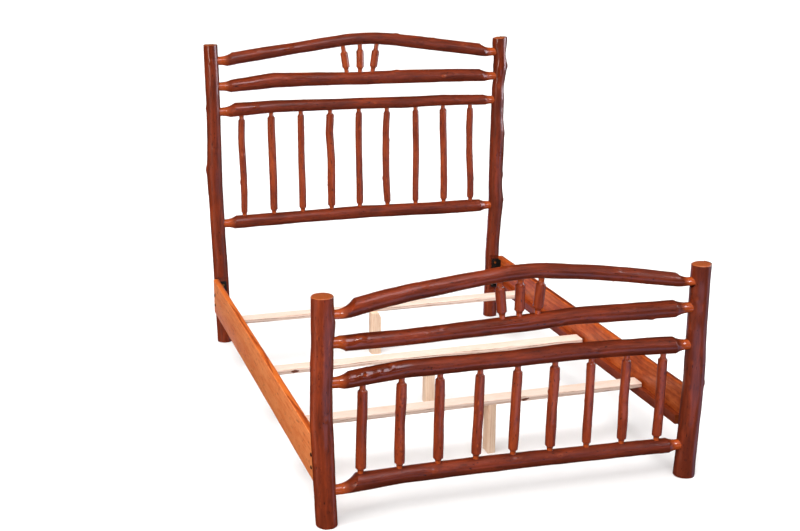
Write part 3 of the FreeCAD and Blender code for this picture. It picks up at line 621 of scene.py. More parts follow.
def shoulderCutter(log, atStart, flare, longer):
    # what the tenon cutter shaves off: straight neck, then a hollow curve out to the bark side,
    # drawn as (distance, radius) and spun about the tenon's axis
    end, inward, run, radius = tenon(log, atStart)
    run += longer
    steps, past, outside = cutterShape["hollowSteps"], cutterShape["past"], cutterShape["outside"]
    profile = [(-past, radius), (run, radius)]
    for i in range(1, steps):
        turn = math.pi / 2 * i / steps * min(1.0, cutterShape["hollowRun"] / flare)
        profile.append((run + flare * math.sin(turn), radius + flare * (1 - math.cos(turn))))
    lipRun, lipRise = cutterShape["lip"]
    reach = profile[-1][0] + lipRun
    profile += [(reach, profile[-1][1] + lipRise), (reach, outside), (-past, outside)]
    mesh = bpy.data.meshes.new("cutter")
    mesh.from_pydata([(radius, 0, distance) for distance, radius in profile],
                     [(i, (i + 1) % len(profile)) for i in range(len(profile))], [])
    cutter = bpy.data.objects.new("cutter", mesh)
    bpy.context.scene.collection.objects.link(cutter)
    takeUp(cutter)
    bpy.ops.object.mode_set(mode="EDIT")
    bpy.ops.mesh.select_all(action="SELECT")
    bpy.ops.mesh.spin(steps=cutterShape["sides"], angle=2 * math.pi, center=(0, 0, 0), axis=(0, 0, 1))
    mendShell(cutterShape["merge"])
    turnTo(cutter, end, inward)
    return markCutter(cutter, "turned")


def boreCutter(log, atStart):
    # the blind bore that one of this log's tenons sits in
    end, inward, run, radius = tenon(log, atStart)
    gap = cutterShape["glueGap"]
    deselect()
    bpy.ops.mesh.primitive_cylinder_add(vertices=cutterShape["boreSides"], depth=run + gap,
                                        radius=radius + cutterShape["boreFit"])
    cutter = bpy.context.object
    turnTo(cutter, end + inward * ((run - gap) / 2), inward)
    return markCutter(cutter, "turned")


# the flats that the side rails' brackets lie on: head and foot face, height, and the plane's block
postFlat = {"faces": (1.0465, -1.044), "low": 0.1585, "high": 0.3518, "across": 0.762,
            "width": 0.16, "depth": 0.1}


def flatCutter(node):
    # what the plane takes off a post for the side rail and its bracket
    hand = -1 if node.endswith("left") else 1
    end = 1 if node.startswith("head") else -1
    face = postFlat["faces"][0 if end > 0 else 1]
    low, high, depth = postFlat["low"], postFlat["high"], postFlat["depth"]
    deselect()
    bpy.ops.mesh.primitive_cube_add(
        size=1, location=(hand * postFlat["across"], face - end * depth / 2, (low + high) / 2))
    cutter = bpy.context.object
    cutter.scale = (postFlat["width"], depth, high - low)
    return markCutter(cutter, "planed")


def carve(piece, cutters):
    deselect()
    for cutter in cutters:
        cutter.select_set(True)
    bpy.context.view_layer.objects.active = cutters[0]
    if len(cutters) > 1:
        bpy.ops.object.join()
    tool = bpy.context.view_layer.objects.active
    takeUp(piece)
    before = len(piece.data.vertices)
    for solver in ("MANIFOLD", "EXACT"):
        cut = piece.modifiers.new("carve", "BOOLEAN")
        cut.operation = "DIFFERENCE"
        cut.solver = solver
        cut.object = tool
        bpy.ops.object.modifier_apply(modifier=cut.name)
        if len(piece.data.vertices) != before:
            break
        print(piece.name, "was not carved by the", solver, "solver")
    bpy.data.objects.remove(tool)


def writeLayers(mesh, layers):
    for name, values in layers.items():
        isVector = values.ndim == 2
        layer = mesh.attributes.new(name, "FLOAT_VECTOR" if isVector else "FLOAT", "POINT")
        layer.data.foreach_set("vector" if isVector else "value", values.astype(np.float32).ravel())


def distances(places, middle, axis, squeeze):
    # from one spot on a log; squeeze is the share by which the way along it counts for less
    away = places - middle
    return np.linalg.norm(away - np.outer(away @ axis, axis) * squeeze, axis=1)


def rimShare(mesh, places, fromEnd, flare):
    # the edges between bark and cut wood; on a flare the wear runs on down the cutter's hollow
    loops = numbers(mesh.loops, "vertex_index")
    kinds = np.repeat(numbers(mesh.polygons, "material_index"), numbers(mesh.polygons, "loop_total"))
    bark, cut = np.zeros(len(places), bool), np.zeros(len(places), bool)
    bark[loops[kinds == woodKinds["peeled"]]] = True
    cut[loops[kinds > woodKinds["peeled"]]] = True
    rim = (bark & cut).astype(float)
    if flare:
        nearEnd = fromEnd < logShape["endZone"]
        edge, hollow = places[(rim > 0) & nearEnd], np.nonzero(cut & ~bark & nearEnd)[0]
        if len(edge) and len(hollow):
            gap = np.linalg.norm(places[hollow][:, None, :] - edge[None, :, :], axis=2).min(axis=1)
            rim[hollow] = np.clip(1 - gap / logShape["rimWidth"], 0, 1)
    return rim


def measureRun(piece, log, offset, tone, knots, flare, shines):
    # writes the attributes of the logs' finish on the finished mesh
    places = vertexPlaces(piece.data).astype(float)
    count = len(places)
    away = places - log["origin"]
    axis, body, rings = log["axis"], log["body"], log["rings"]
    along, side, rise = away @ axis, away @ log["side"], away @ log["rise"]
    run = np.stack((along + offset, side - np.interp(along, body[:, 0], body[:, 1]),
                    rise - np.interp(along, body[:, 0], body[:, 2])), axis=1)
    reach, shows = np.full(count, logShape["knotFar"]), np.zeros(count)
    for place, size, height, show in knots:
        away = distances(places, place, axis, logShape["knotSqueeze"]) / size
        shows = np.where(away < reach, show, shows)
        reach = np.minimum(reach, away)
    turned = np.zeros(count)     # full on the neck and for 0.3 of the fade past it
    if flare:
        fade = logShape["neckFade"][0 if "rail" in log["node"] else 1]
        outside = np.hypot(side, rise)
        for end, neck in ((rings[0], rings[1]), (rings[-1], rings[-2])):
            past = np.abs(along - end[0]) - abs(neck[0] - end[0])
            near = np.clip(1.6 - (outside - end[3]) / logShape["neckRise"], 0, 1)
            turned = np.maximum(turned, np.clip(1.3 - past / fade, 0, 1) * near)
    shine = np.zeros(count)
    for place, size in shines:
        away = distances(places, place, axis, logShape["shineSqueeze"]) / size
        shine = np.maximum(shine, np.clip(1.5 - away, 0, 1))
    fromEnd = np.minimum(along - rings[0][0], rings[-1][0] - along)
    rim = rimShare(piece.data, places, fromEnd, flare)
    writeLayers(piece.data, {"logRun": run, "logTone": np.full(count, tone), "knotReach": reach,
                             "knotShow": shows, "turned": turned, "shine": shine, "rim": rim})


def onSurface(log, share, turn, raised):
    # a place on the log: share of its length, degrees round it, metres above the bark
    rings, body = log["rings"], log["body"]
    along = rings[0][0] + share * (rings[-1][0] - rings[0][0])
    side, rise, radius = (float(np.interp(along, body[:, 0], body[:, k])) for k in (1, 2, 3))
    turn = math.radians(turn)
    out = radius + raised
    return spot(log, along, side + out * math.cos(turn), rise + out * math.sin(turn))


def makeLog(node, number, look, cutters, knots, top):
    log = logs[node]
    rings = log["rings"]
    isPost = "post" in node
    if isPost:
        # the sawn ends are cut off after the surface is roughened
        first, last = rings[2].copy(), rings[-3].copy()
        first[0] = rings[0][0] - logShape["spareFoot"]
        last[0] = rings[-1][0] + logShape["spareTop"]
        body = np.vstack((first, rings[3:-3], last))
    else:
        reach = logShape["shoulderRun"][0 if "rail" in node else 1] - ringSearch["gap"]
        body = rings[(rings[:, 0] > rings[1][0] + reach) & (rings[:, 0] < rings[-2][0] - reach)]
        first, last = body[0].copy(), body[-1].copy()
        first[0], last[0] = rings[0][0], rings[-1][0]
        body = np.vstack((first, body, last))
    low, high = body[0][0], body[-1][0]
    steps = np.linspace(low, high, max(6, round((high - low) / logShape["stationStep"])))
    body = np.stack([steps] + [np.interp(steps, body[:, 0], body[:, k]) for k in (1, 2, 3)], axis=1)
    if look.get("barrel"):
        body[:, 3] = look["barrel"]
    log["body"] = body
    spots = [(onSurface(log, share, turn, max(0.0, height) / 1000), size / 1000, height / 1000,
              show[0] if show else logShape["knotShow"])
             for share, turn, size, height, *show in knots]
    shines = [(onSurface(log, share, turn, 0.0), size / 1000)
              for share, turn, size in logShines.get(node, ())]
    piece = curveLog(log, body)
    piece.name = node + "_log"
    piece.data.name = piece.name
    for material in (peeledLog, turnedNeck, planedFlat, endGrain):
        piece.data.materials.append(material)
    roughen(piece, "x" if abs(log["axis"][0]) > 0.7 else "z", look["relief"])
    pushKnots(piece, spots)
    flare = look.get("flare")
    if flare:
        cutters = cutters + [shoulderCutter(log, True, flare[0], look["longer"][0]),
                             shoulderCutter(log, False, flare[1], look["longer"][1])]
    if isPost:
        sawPost(piece, log, top)
    if cutters:
        carve(piece, cutters)
    measureRun(piece, log, number * logShape["runStep"], look["tone"], spots, flare, shines)
    takeUp(piece)
    bpy.ops.object.shade_smooth_by_angle(angle=math.radians(logShape["smoothAngle"]))
    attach(piece, "root")
    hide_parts(node)
    return piece


def sawPost(piece, log, top):
    # sawn top and foot, with their rims eased
    rings = log["rings"]
    sideTilt, frontTilt, topEase, higher = top
    for along, normal, ease in ((rings[-1][0] + higher, (sideTilt, frontTilt, 1.0), topEase),
                                (rings[0][0], (0, 0, -1.0), logShape["footEase"])):
        middle = Vector(spot(log, along, 0, 0))
        plane = Vector(normal).normalized()
        takeUp(piece)
        bpy.ops.object.mode_set(mode="EDIT")
        bpy.ops.mesh.select_all(action="SELECT")
        bpy.ops.mesh.bisect(plane_co=middle, plane_no=normal, use_fill=True, clear_outer=True)
        bpy.ops.object.mode_set(mode="OBJECT")
        for face in piece.data.polygons:
            # the sawn face is the one that lies in the cut
            face.select = face.normal.dot(plane) > 0.99 and abs((face.center - middle).dot(plane)) < 0.001
            if face.select:
                face.material_index = woodKinds["sawn"]
        bpy.ops.object.mode_set(mode="EDIT")
        bpy.ops.mesh.region_to_loop()
        bpy.ops.mesh.bevel(offset=ease, offset_type="OFFSET", segments=5, profile=0.5, affect="EDGES")
        bpy.ops.object.mode_set(mode="OBJECT")


logKinds = ("post", "crest", "second", "third", "lower", "spindle", "fan")
logNodes = sorted(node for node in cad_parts
                  if node.split("_")[0] in ("head", "foot") and node.split("_")[1] in logKinds)
logs = {node: measureLog(node) for node in logNodes}
print("logs measured:", len(logs))

# what each kind of log looks like: tone, relief, and in metres the flares at its two ends, how much
# longer than the CAD its necks are cut, and one radius all along for the short fan spindles
logLooks = {
    "post": {"tone": 0.10, "relief": 1.0},
    "crest": {"tone": 0.06, "relief": 1.0, "flare": (0.12, 0.11), "longer": (-0.004, -0.004)},
    "second": {"tone": 0.06, "relief": 1.0, "flare": (0.15, 0.14), "longer": (-0.006, -0.004)},
    "third": {"tone": 0.05, "relief": 1.0, "flare": (0.12, 0.13), "longer": (-0.004, -0.004)},
    "lower": {"tone": 0.0, "relief": 1.0, "flare": (0.10, 0.10), "longer": (-0.004, -0.004)},
    "spindle": {"tone": 0.28, "relief": 0.8, "flare": (0.016, 0.016), "longer": (-0.001, 0.003)},
    "foot_fan": {"longer": (0.002, 0.002)},
    "head_spindle": {"tone": 0.46},
    "head_fan": {"tone": 0.62},
    "foot_crest_rail": {"flare": (0.095, 0.095), "tone": -0.08},
    "foot_second_rail": {"flare": (0.06, 0.15), "tone": -0.12},
    "foot_third_rail": {"flare": (0.10, 0.105), "tone": -0.12},
    "foot_lower_rail": {"tone": -0.12},
    "foot_post_right": {"tone": -0.10},
    "head_post_right": {"tone": 0.06},
    "fan": {"tone": 0.30, "relief": 0.5, "flare": (0.018, 0.018), "longer": (0.004, 0.012), "barrel": 0.0192},
}

# posts' sawn tops: tilt sideways and lengthways, eased rim and extra height in metres
postTops = {"head_post_left": (0.0, 0.0, 0.004, 0.010), "head_post_right": (-0.05, 0.0, 0.013, 0.004),
            "foot_post_left": (0.0, 0.0, 0.004, 0.008), "foot_post_right": (-0.04, 0.0, 0.007, 0.003)}

# knots that show from the front: share of the log's length, turn round it in degrees, radius and
# height in mm, and how orange it is; a hollow has a height below 0
logKnots = {
    "head_crest_rail": ((0.16, 125, 9, 4), (0.257, 165, 12, 3), (0.627, 110, 13, 5), (0.705, 170, 6, 1),
                        (0.757, 115, 12, 4), (0.863, 150, 11, 3)),
    "head_second_rail": ((0.253, 160, 9, 2), (0.513, 165, 7, 1.5), (0.624, 110, 14, 5),
                         (0.786, 178, 8, 2.5, 0.9)),
    "head_third_rail": ((0.142, 155, 9, 3), (0.265, -157, 6, 1.5), (0.672, -157, 6, 1.5)),
    "head_lower_rail": ((0.38, 150, 9, 3), (0.52, 170, 7, 2), (0.93, 120, 10, 4)),
    "head_post_right": ((0.904, -5, 14, 7), (0.838, -104, 8, -2, 0.5), (0.67, -5, 14, 4), (0.52, -15, 12, 4),
                        (0.43, 0, 13, 5), (0.985, 180, 22, 4, 0), (0.99, -5, 20, 4, 0),
                        (0.93, 180, 30, -7, 0), (0.947, 0, 20, -7, 0), (0.87, 180, 34, -6, 0),
                        (0.83, 0, 32, -5, 0)),
    "head_post_left": ((0.955, -100, 8, 2), (0.80, 175, 10, 3), (0.60, 180, 14, 4), (0.668, -102, 7, 2)),
    "foot_crest_rail": ((0.755, 133, 10, 2), (0.468, 111, 9, 2), (0.25, 140, 9, 2)),
    "foot_second_rail": ((0.060, 138, 17, -3, 0), (0.092, 141, 12, 4, 0.3), (0.30, 120, 9, 3),
                         (0.602, -148, 8, 2), (0.86, -120, 12, 4)),
    "foot_third_rail": ((0.078, 138, 17, -3.5, 0), (0.118, 138, 17, -3.5, 0), (0.155, 132, 13, -2.5, 0),
                        (0.107, 150, 7, -2.5, 0.5), (0.175, 112, 10, 3), (0.70, 160, 8, 2)),
    "foot_lower_rail": ((0.504, 135, 11, 3), (0.62, 150, 9, 2), (0.28, 160, 8, 2)),
    "foot_post_left": ((0.895, 0, 34, 6, 0), (0.88, -132, 7, 1.5), (0.495, -81, 9, 2), (0.30, -150, 8, 2)),
    "foot_post_right": ((0.705, -159, 9, 2.5), (0.848, -131, 7, 1.5), (0.45, -30, 10, 3)),
    "head_spindle_1": ((0.60, -90, 7, 3), (0.35, 170, 7, 3)),
    "head_spindle_2": ((0.629, -104, 5, 1.5), (0.42, -80, 5, 1), (0.80, -95, 4, 1)),
    "head_spindle_6": ((0.30, 180, 7, 3), (0.66, 0, 7, 3)),
    "head_spindle_9": ((0.63, -100, 6, 2), (0.25, 10, 7, 3)),
    "foot_spindle_2": ((0.90, -100, 4, 0.6, 1), (0.78, -85, 3.5, 0.5, 1), (0.69, -95, 3.5, 0.5, 1),
                       (0.39, -90, 4, 0.6, 1), (0.33, -80, 3.5, 0.5, 1), (0.27, -95, 5, 1, 1),
                       (0.21, -85, 3.5, 0.5, 1)),
    "foot_spindle_4": ((0.53, -85, 4, 0.8, 1), (0.20, -100, 4, 0.6, 1)),
    "foot_spindle_6": ((0.65, 170, 7, 3),),
    "foot_spindle_8": ((0.513, -102, 6, 2), (0.70, 0, 7, 3)),
}

# where the lacquer is thickest and mirrors most: share, turn and radius in mm
logShines = {
    "foot_third_rail": ((0.085, 135, 30), (0.13, 135, 30), (0.17, 130, 24)),
    "foot_second_rail": ((0.06, 135, 26), (0.47, 140, 26)),
    "foot_crest_rail": ((0.05, 140, 20),),
    "head_crest_rail": ((0.257, 150, 26),),
    "head_second_rail": ((0.12, 150, 24), (0.30, 155, 22)),
    "head_third_rail": ((0.12, 150, 24),),
    "head_post_right": ((0.90, -115, 30), (0.97, -150, 24), (0.60, -60, 24)),
    "head_post_left": ((0.97, -120, 24),),
}

chance = random.Random(11)
spindleCount, fanCount = 9, 3
for number, node in enumerate(logNodes):
    end, part = node.split("_")[:2]
    entering, atStart = [], part in ("lower", "second")     # logs whose tenons this one takes
    if part == "post":
        entering = [f"{end}_{rail}_rail" for rail in ("crest", "second", "third", "lower")]
        atStart = node.endswith("left")
    elif part in ("lower", "third"):
        entering = [f"{end}_spindle_{i + 1}" for i in range(spindleCount)]
    elif part in ("second", "crest"):
        entering = [f"{end}_fan_{i + 1}" for i in range(fanCount)]
    cutters = [boreCutter(logs[other], atStart) for other in entering]
    if part == "post":
        cutters.append(flatCutter(node))
    look = dict(logLooks[part])
    look.update(logLooks.get(end + "_" + part, {}))
    look.update(logLooks.get(node, {}))
    look["tone"] += chance.uniform(-0.08, 0.08)
    # small knots all round, besides the ones that show from the front
    small = logShape["smallKnots"][1 if part in ("spindle", "fan") else 0]
    knots = list(logKnots.get(node, ()))
    for _ in range(small):
        knots.append((chance.uniform(0.1, 0.9), chance.uniform(0, 360), chance.uniform(3.0, 6.0),
                      chance.uniform(0.3, 1.6)))
    makeLog(node, number, look, cutters, knots, postTops.get(node))
    print("made", node)


# Sawn boards: side rails, cleats, slats and legs. A board carries boardRun, its own coordinates
# in metres with the length first; boardTone, from light (0) to dark (1), which on the side rails
# also holds painted sheen and painted shade; and boardMark, the place on boardRun of a scrap of bark.

boardShape = {
    "endRise": 0.35,       # shares of the eased edge: how far a sawn end's middle stands out,
    "endInset": 0.5,       # and how wide its slope is
    "ringStep": 0.035,     # between the rings that let the faces wave
    "waveSize": 0.22,
    "boltBore": 0.0042,    # radius
    "boltLength": 0.2,
    "smoothAngle": 32,     # degrees; sharper edges stay sharp
    "noMark": (-99.0, 0.0, 0.0),
}
boardWave = reliefTexture("board_wave", boardShape["waveSize"])


def selectLong(mesh, way, least):
    # selects the edges that run at least this far along the board, a little less than its length
    bpy.ops.object.mode_set(mode="OBJECT")
    for edge in mesh.edges:
        first, second = (mesh.vertices[index].co for index in edge.vertices)
        edge.select = abs((second - first)[way]) > least
    bpy.ops.object.mode_set(mode="EDIT")


def sawnBoard(node, look):
    low, high = (Vector(corner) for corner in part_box(node))
    longest = max(range(3), key=lambda k: high[k] - low[k])
    length = (high - low)[longest]
    deselect()
    bpy.ops.mesh.primitive_cube_add(size=1, location=(low + high) / 2)
    piece = bpy.context.object
    piece.name = node + "_board"
    piece.data.name = piece.name
    mesh = piece.data
    endRise = look["ease"] * boardShape["endRise"]
    sides = high - low
    sides[longest] -= 2 * endRise
    piece.scale = sides
    settle(piece)
    if look.get("wane"):
        waneCorner(high, look["wane"])
    # eased long edges, then rings along the length, so that the faces can wave a little
    bpy.ops.object.mode_set(mode="EDIT")
    bpy.ops.mesh.select_mode(type="EDGE")
    bpy.ops.mesh.select_all(action="DESELECT")
    selectLong(mesh, longest, 0.9 * length)
    bpy.ops.mesh.bevel(offset=look["ease"], offset_type="OFFSET", segments=3, profile=0.5, affect="EDGES")
    bpy.ops.mesh.select_all(action="DESELECT")
    selectLong(mesh, longest, 0.8 * length)
    bpy.ops.mesh.subdivide(number_cuts=max(6, int(length / boardShape["ringStep"])))
    bpy.ops.mesh.select_mode(type="VERT")
    bpy.ops.object.mode_set(mode="OBJECT")
    for face in mesh.polygons:
        face.select = abs(face.normal[longest]) > 0.9
        if face.select:
            face.material_index = 1
    bpy.ops.object.mode_set(mode="EDIT")
    bpy.ops.mesh.select_mode(type="FACE")
    bpy.ops.object.mode_set(mode="OBJECT")
    bpy.ops.object.mode_set(mode="EDIT")
    bpy.ops.mesh.inset(thickness=look["ease"] * boardShape["endInset"], depth=endRise)
    bpy.ops.object.mode_set(mode="OBJECT")
    wave = piece.modifiers.new("wave", "DISPLACE")
    wave.texture = boardWave
    wave.texture_coords = "LOCAL"
    wave.strength = look["wave"]
    wave.mid_level = 0.5
    applyAll(piece)
    for material in look["materials"]:
        mesh.materials.append(material)
    for face in mesh.polygons:
        isLevel = abs(face.normal[2]) > 0.8
        if face.material_index == 0 and len(look["materials"]) > 2 and isLevel == look["edgeUp"]:
            face.material_index = 2
    if look.get("bores"):
        carve(piece, [roundCutter(*bore) for bore in look["bores"]])
    places = vertexPlaces(piece.data) - np.array((low + high) / 2)
    order = [longest] + [k for k in (2, 1, 0) if k != longest]
    mark = look.get("mark", boardShape["noMark"])
    writeLayers(piece.data, {"boardRun": places[:, order] + np.array((look["offset"], 0.0, 0.0)),
                             "boardTone": np.full(len(places), look["tone"]),
                             "boardMark": np.tile(mark, (len(places), 1))})
    takeUp(piece)
    bpy.ops.object.shade_smooth_by_angle(angle=math.radians(boardShape["smoothAngle"]))
    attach(piece, look["body"])
    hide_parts(node)
    return piece


def waneCorner(high, wane):
    # the corner that the saw left: a plane cuts the active board near its top right edge
    reach, leanX, leanZ = wane
    bpy.ops.object.mode_set(mode="EDIT")
    bpy.ops.mesh.select_all(action="SELECT")
    bpy.ops.mesh.bisect(plane_co=(high.x - reach, 0, high.z), plane_no=(leanX, 0, leanZ),
                        use_fill=True, clear_outer=True)
    bpy.ops.object.mode_set(mode="OBJECT")


def roundCutter(place, way, radius, depth):
    deselect()
    bpy.ops.mesh.primitive_cylinder_add(vertices=32, radius=radius, depth=depth, location=place)
    cutter = bpy.context.object
    cutter.rotation_euler = Vector(way).to_track_quat("Z", "X").to_euler()
    return cutter


def boardWood(name, look):
    # Flat-sawn pine. Year rings curve about a pith beside the board, so a face shows long
    # arches; dark pores and small pitch marks lie along them.
    material, tree = newMaterial(name)
    run = add(tree, "Attribute", {"attribute_name": "boardRun"}, {}).outputs["Vector"]
    tone = add(tree, "Attribute", {"attribute_name": "boardTone"}, {}).outputs["Fac"]
    bark = add(tree, "Attribute", {"attribute_name": "boardMark"}, {}).outputs["Vector"]
    patterns = {}
    for kind, shift, scale, detail, roughness in (
            # the slow bends of the year rings
            ("slow", (0, 0, 0), (1.6, 5, 5), 2, 0.5),
            # fibres 2.4 mm wide, drawn coarser than the real ones so that they show
            ("fibres", (0, 0, 0), (9, 420, 420), 4, 0.6),
            # broad clouds, about 140 mm long and 60 mm wide
            ("cloud", (3, 1, 2), (7, 16, 16), 4, 0.6),
            # blotches where the stain took unevenly, 40 mm long and 15 mm wide
            ("blotch", (5, 2, 8), (26, 64, 64), 4, 0.65),
            # pitch marks and small knots, 4 mm wide and up to 20 mm long
            ("marks", (0, 0, 0), (26, 95, 95), 2, 0.5)):
        spread = add(tree, "Mapping", {}, {"Vector": run, "Location": shift, "Scale": scale}).outputs[0]
        patterns[kind] = add(tree, "TexNoise", {}, {"Vector": spread, "Scale": 1, "Detail": detail,
                                                    "Roughness": roughness}).outputs["Fac"]
    fibres = patterns["fibres"]
    # year rings: distance from the pith, bent a little, cut into ring widths
    parts = add(tree, "SeparateXYZ", {}, {0: run})
    height = add(tree, "Math", {"operation": "ADD"}, {0: parts.outputs[1], 1: look["pith"][0]}).outputs[0]
    depth = add(tree, "Math", {"operation": "ADD"}, {0: parts.outputs[2], 1: look["pith"][1]}).outputs[0]
    out = add(tree, "CombineXYZ", {}, {1: height, 2: depth}).outputs[0]
    out = add(tree, "VectorMath", {"operation": "LENGTH"}, {0: out}).outputs["Value"]
    for bend, share in ((patterns["slow"], 0.05), (parts.outputs[0], 0.006)):
        out = add(tree, "Math", {"operation": "MULTIPLY_ADD"}, {0: bend, 1: share, 2: out}).outputs[0]
    rings = add(tree, "Math", {"operation": "DIVIDE"}, {0: out, 1: look["ringWidth"]}).outputs[0]
    rings = add(tree, "Math", {"operation": "FRACT"}, {0: rings}).outputs[0]
    latewood = add(tree, "MapRange", {"interpolation_type": "SMOOTHSTEP"},
                   {0: rings, 1: 0.35, 2: 0.97, 3: 0.0, 4: 1.0}).outputs[0]
    mixed = tone
    for pattern, share in ((latewood, look["ringShow"]), (patterns["cloud"], 0.75),
                           (patterns["blotch"], 0.5), (fibres, 0.35)):
        mixed = add(tree, "Math", {"operation": "MULTIPLY_ADD"}, {0: pattern, 1: share, 2: mixed}).outputs[0]
    shade = add(tree, "MapRange", {}, {0: mixed, 1: 0.57, 2: 1.47, 3: 0.0, 4: 1.0}).outputs[0]
    body = add(tree, "ValToRGB", {"stops": look["stops"]}, {"Fac": shade}).outputs[0]
    # one scrap of bark left on the edge, 35 mm long and 12 mm high
    fromBark = add(tree, "VectorMath", {"operation": "SUBTRACT"}, {0: run, 1: bark}).outputs[0]
    fromBark = add(tree, "Mapping", {}, {"Vector": fromBark, "Scale": (44, 120, 60)}).outputs[0]
    fromBark = add(tree, "VectorMath", {"operation": "LENGTH"}, {0: fromBark}).outputs["Value"]
    fromBark = add(tree, "Math", {"operation": "MULTIPLY_ADD"},
                   {0: patterns["blotch"], 1: 3.0, 2: fromBark}).outputs[0]
    # both masks are laid on: where each starts and ends, its strength at both, and its colour
    pitch = 0.74 - look["pitchShare"]
    for level, start, end, atStart, atEnd, tint in (
            (patterns["marks"], pitch, pitch + 0.08, 0.0, 0.5, look["stops"][-1][1]),
            (fromBark, 2.1, 2.5, 0.95, 0.0, "#6B2E14")):
        mask = add(tree, "MapRange", {"interpolation_type": "SMOOTHSTEP"},
                   {0: level, 1: start, 2: end, 3: atStart, 4: atEnd}).outputs[0]
        body = add(tree, "Mix", {"data_type": "RGBA"}, {0: mask, 6: body, 7: colour(tint)}).outputs[2]
    high = add(tree, "Math", {"operation": "MULTIPLY_ADD"}, {0: fibres, 1: 0.7, 2: latewood}).outputs[0]
    relief = add(tree, "Bump", {}, {"Strength": 0.8, "Distance": look["relief"], "Height": high}).outputs[0]
    rough = add(tree, "MapRange", {}, {0: fibres, 1: 0.3, 2: 0.7, 3: look["rough"] - 0.06,
                                       4: look["rough"] + 0.08}).outputs[0]
    wood = add(tree, "BsdfPrincipled", {}, {
        "Base Color": body, "Roughness": rough, "IOR": 1.4, "Normal": relief,
        "Coat Weight": look["coat"], "Coat Roughness": 0.2})
    finishMaterial(tree, wood.outputs[0])
    return material


# stops run from light to dark; ring width, pith's place and relief are in metres
boardFinishes = {
    "lacquered_sawn_pine": {
        "stops": ((0.0, "#E48A50"), (0.4, "#D26A30"), (0.7, "#B04A14"), (1.0, "#742A0E")),
        "ringWidth": 0.014, "pith": (0.03, 0.12), "ringShow": 0.14, "pitchShare": 0.125,
        "rough": 0.45, "coat": 0.18, "relief": 0.0002},
    "lacquered_sawn_pine_end": {
        "stops": ((0.0, "#B8622C"), (0.5, "#8F4018"), (1.0, "#5C2410")),
        "ringWidth": 0.004, "pith": (0.03, 0.06), "ringShow": 0.35, "pitchShare": 0.0,
        "rough": 0.55, "coat": 0.15, "relief": 0.0003},
    "lacquered_sawn_pine_edge": {
        "stops": ((0.0, "#CE6A28"), (0.5, "#B9541E"), (1.0, "#742A11")),
        "ringWidth": 0.016, "pith": (0.02, 0.05), "ringShow": 0.6, "pitchShare": 0.05,
        "rough": 0.4, "coat": 0.3, "relief": 0.0002},
    "lacquered_sawn_pine_dark": {
        "stops": ((0.0, "#A44A1E"), (0.5, "#7E2F12"), (1.0, "#521B0B")),
        "ringWidth": 0.007, "pith": (0.02, 0.03), "ringShow": 0.25, "pitchShare": 0.03,
        "rough": 0.5, "coat": 0.2, "relief": 0.0002},
    "bare_sawn_white_pine": {
        "stops": ((0.0, "#E8D5CA"), (0.45, "#E2CAB9"), (0.8, "#D6B39B"), (1.0, "#A87B58")),
        "ringWidth": 0.006, "pith": (0.012, 0.05), "ringShow": 0.36, "pitchShare": 0.02,
        "rough": 0.7, "coat": 0.0, "relief": 0.0003},
    # the slats' edges and ends: edge grain, and lighter than the slats' faces as painted light on these
    # upright faces
    "bare_sawn_white_pine_edge_painted_light": {
        "stops": ((0.0, "#F5DFD2"), (0.5, "#EED3C3"), (0.85, "#D4B09B"), (1.0, "#7C5238")),
        "ringWidth": 0.009, "pith": (0.02, 0.05), "ringShow": 0.55, "pitchShare": 0.02,
        "rough": 0.75, "coat": 0.0, "relief": 0.0003},
    "bare_sawn_white_pine_leg": {
        "stops": ((0.0, "#F6DCC4"), (0.45, "#F0CDB0"), (0.8, "#D6A685"), (1.0, "#9C6E48")),
        "ringWidth": 0.008, "pith": (0.01, 0.03), "ringShow": 0.3, "pitchShare": 0.02,
        "rough": 0.7, "coat": 0.0, "relief": 0.0003},
}
railWood, railEnd, railTop, cleatWood, slatWood, slatEdgePaintedLight, legWood = (
    boardWood(name, look) for name, look in boardFinishes.items())
print("board finishes made")

# a board's tone and its pattern's place; a mark is where a scrap of bark is left on a slat's edge,
# wane is a leg's missing corner: reach in metres and the cut's normal
boardLooks = {
    # the side rails' tones are painted light: the left rail is lighter for a painted sheen, the right rail
    # darker for painted shade
    "side_rail_left": {"tone": -0.14, "offset": 0.0},
    "side_rail_right": {"tone": 0.32, "offset": 4.1},
    "cleat_left": {"tone": 0.1, "offset": 1.3},
    "cleat_right": {"tone": 0.15, "offset": 6.2},
    "slat_head": {"tone": 0.0, "offset": 2.2},
    "slat_middle": {"tone": 0.02, "offset": 5.9, "mark": (5.9 - 0.632, -0.002, -0.035)},
    "slat_foot": {"tone": 0.0, "offset": 9.3, "mark": (9.3 + 0.209, -0.001, -0.033)},
    "slat_leg_head": {"tone": 0.0, "offset": 3.7, "wane": (0.013, 0.894, 0.447)},
    "slat_leg_middle": {"tone": 0.0, "offset": 7.1},
    "slat_leg_foot": {"tone": 0.0, "offset": 8.4},
}


def boltBores(hand):
    # the four carriage bolts on one side, read from their CAD node
    places = meshPlaces("carriage_bolts")
    level = np.median(np.unique(places[:, 2].round(3)))
    bores = []
    for end in (-1, 1):
        for step in (-1, 1):
            bolt = places[(places[:, 0] * hand > 0) & (places[:, 1] * end > 0)
                          & ((places[:, 2] - level) * step > 0)]
            middle = Vector((bolt.min(axis=0) + bolt.max(axis=0)) / 2)
            bores.append((middle, (1, 0, 0), boardShape["boltBore"], boardShape["boltLength"]))
    return bores


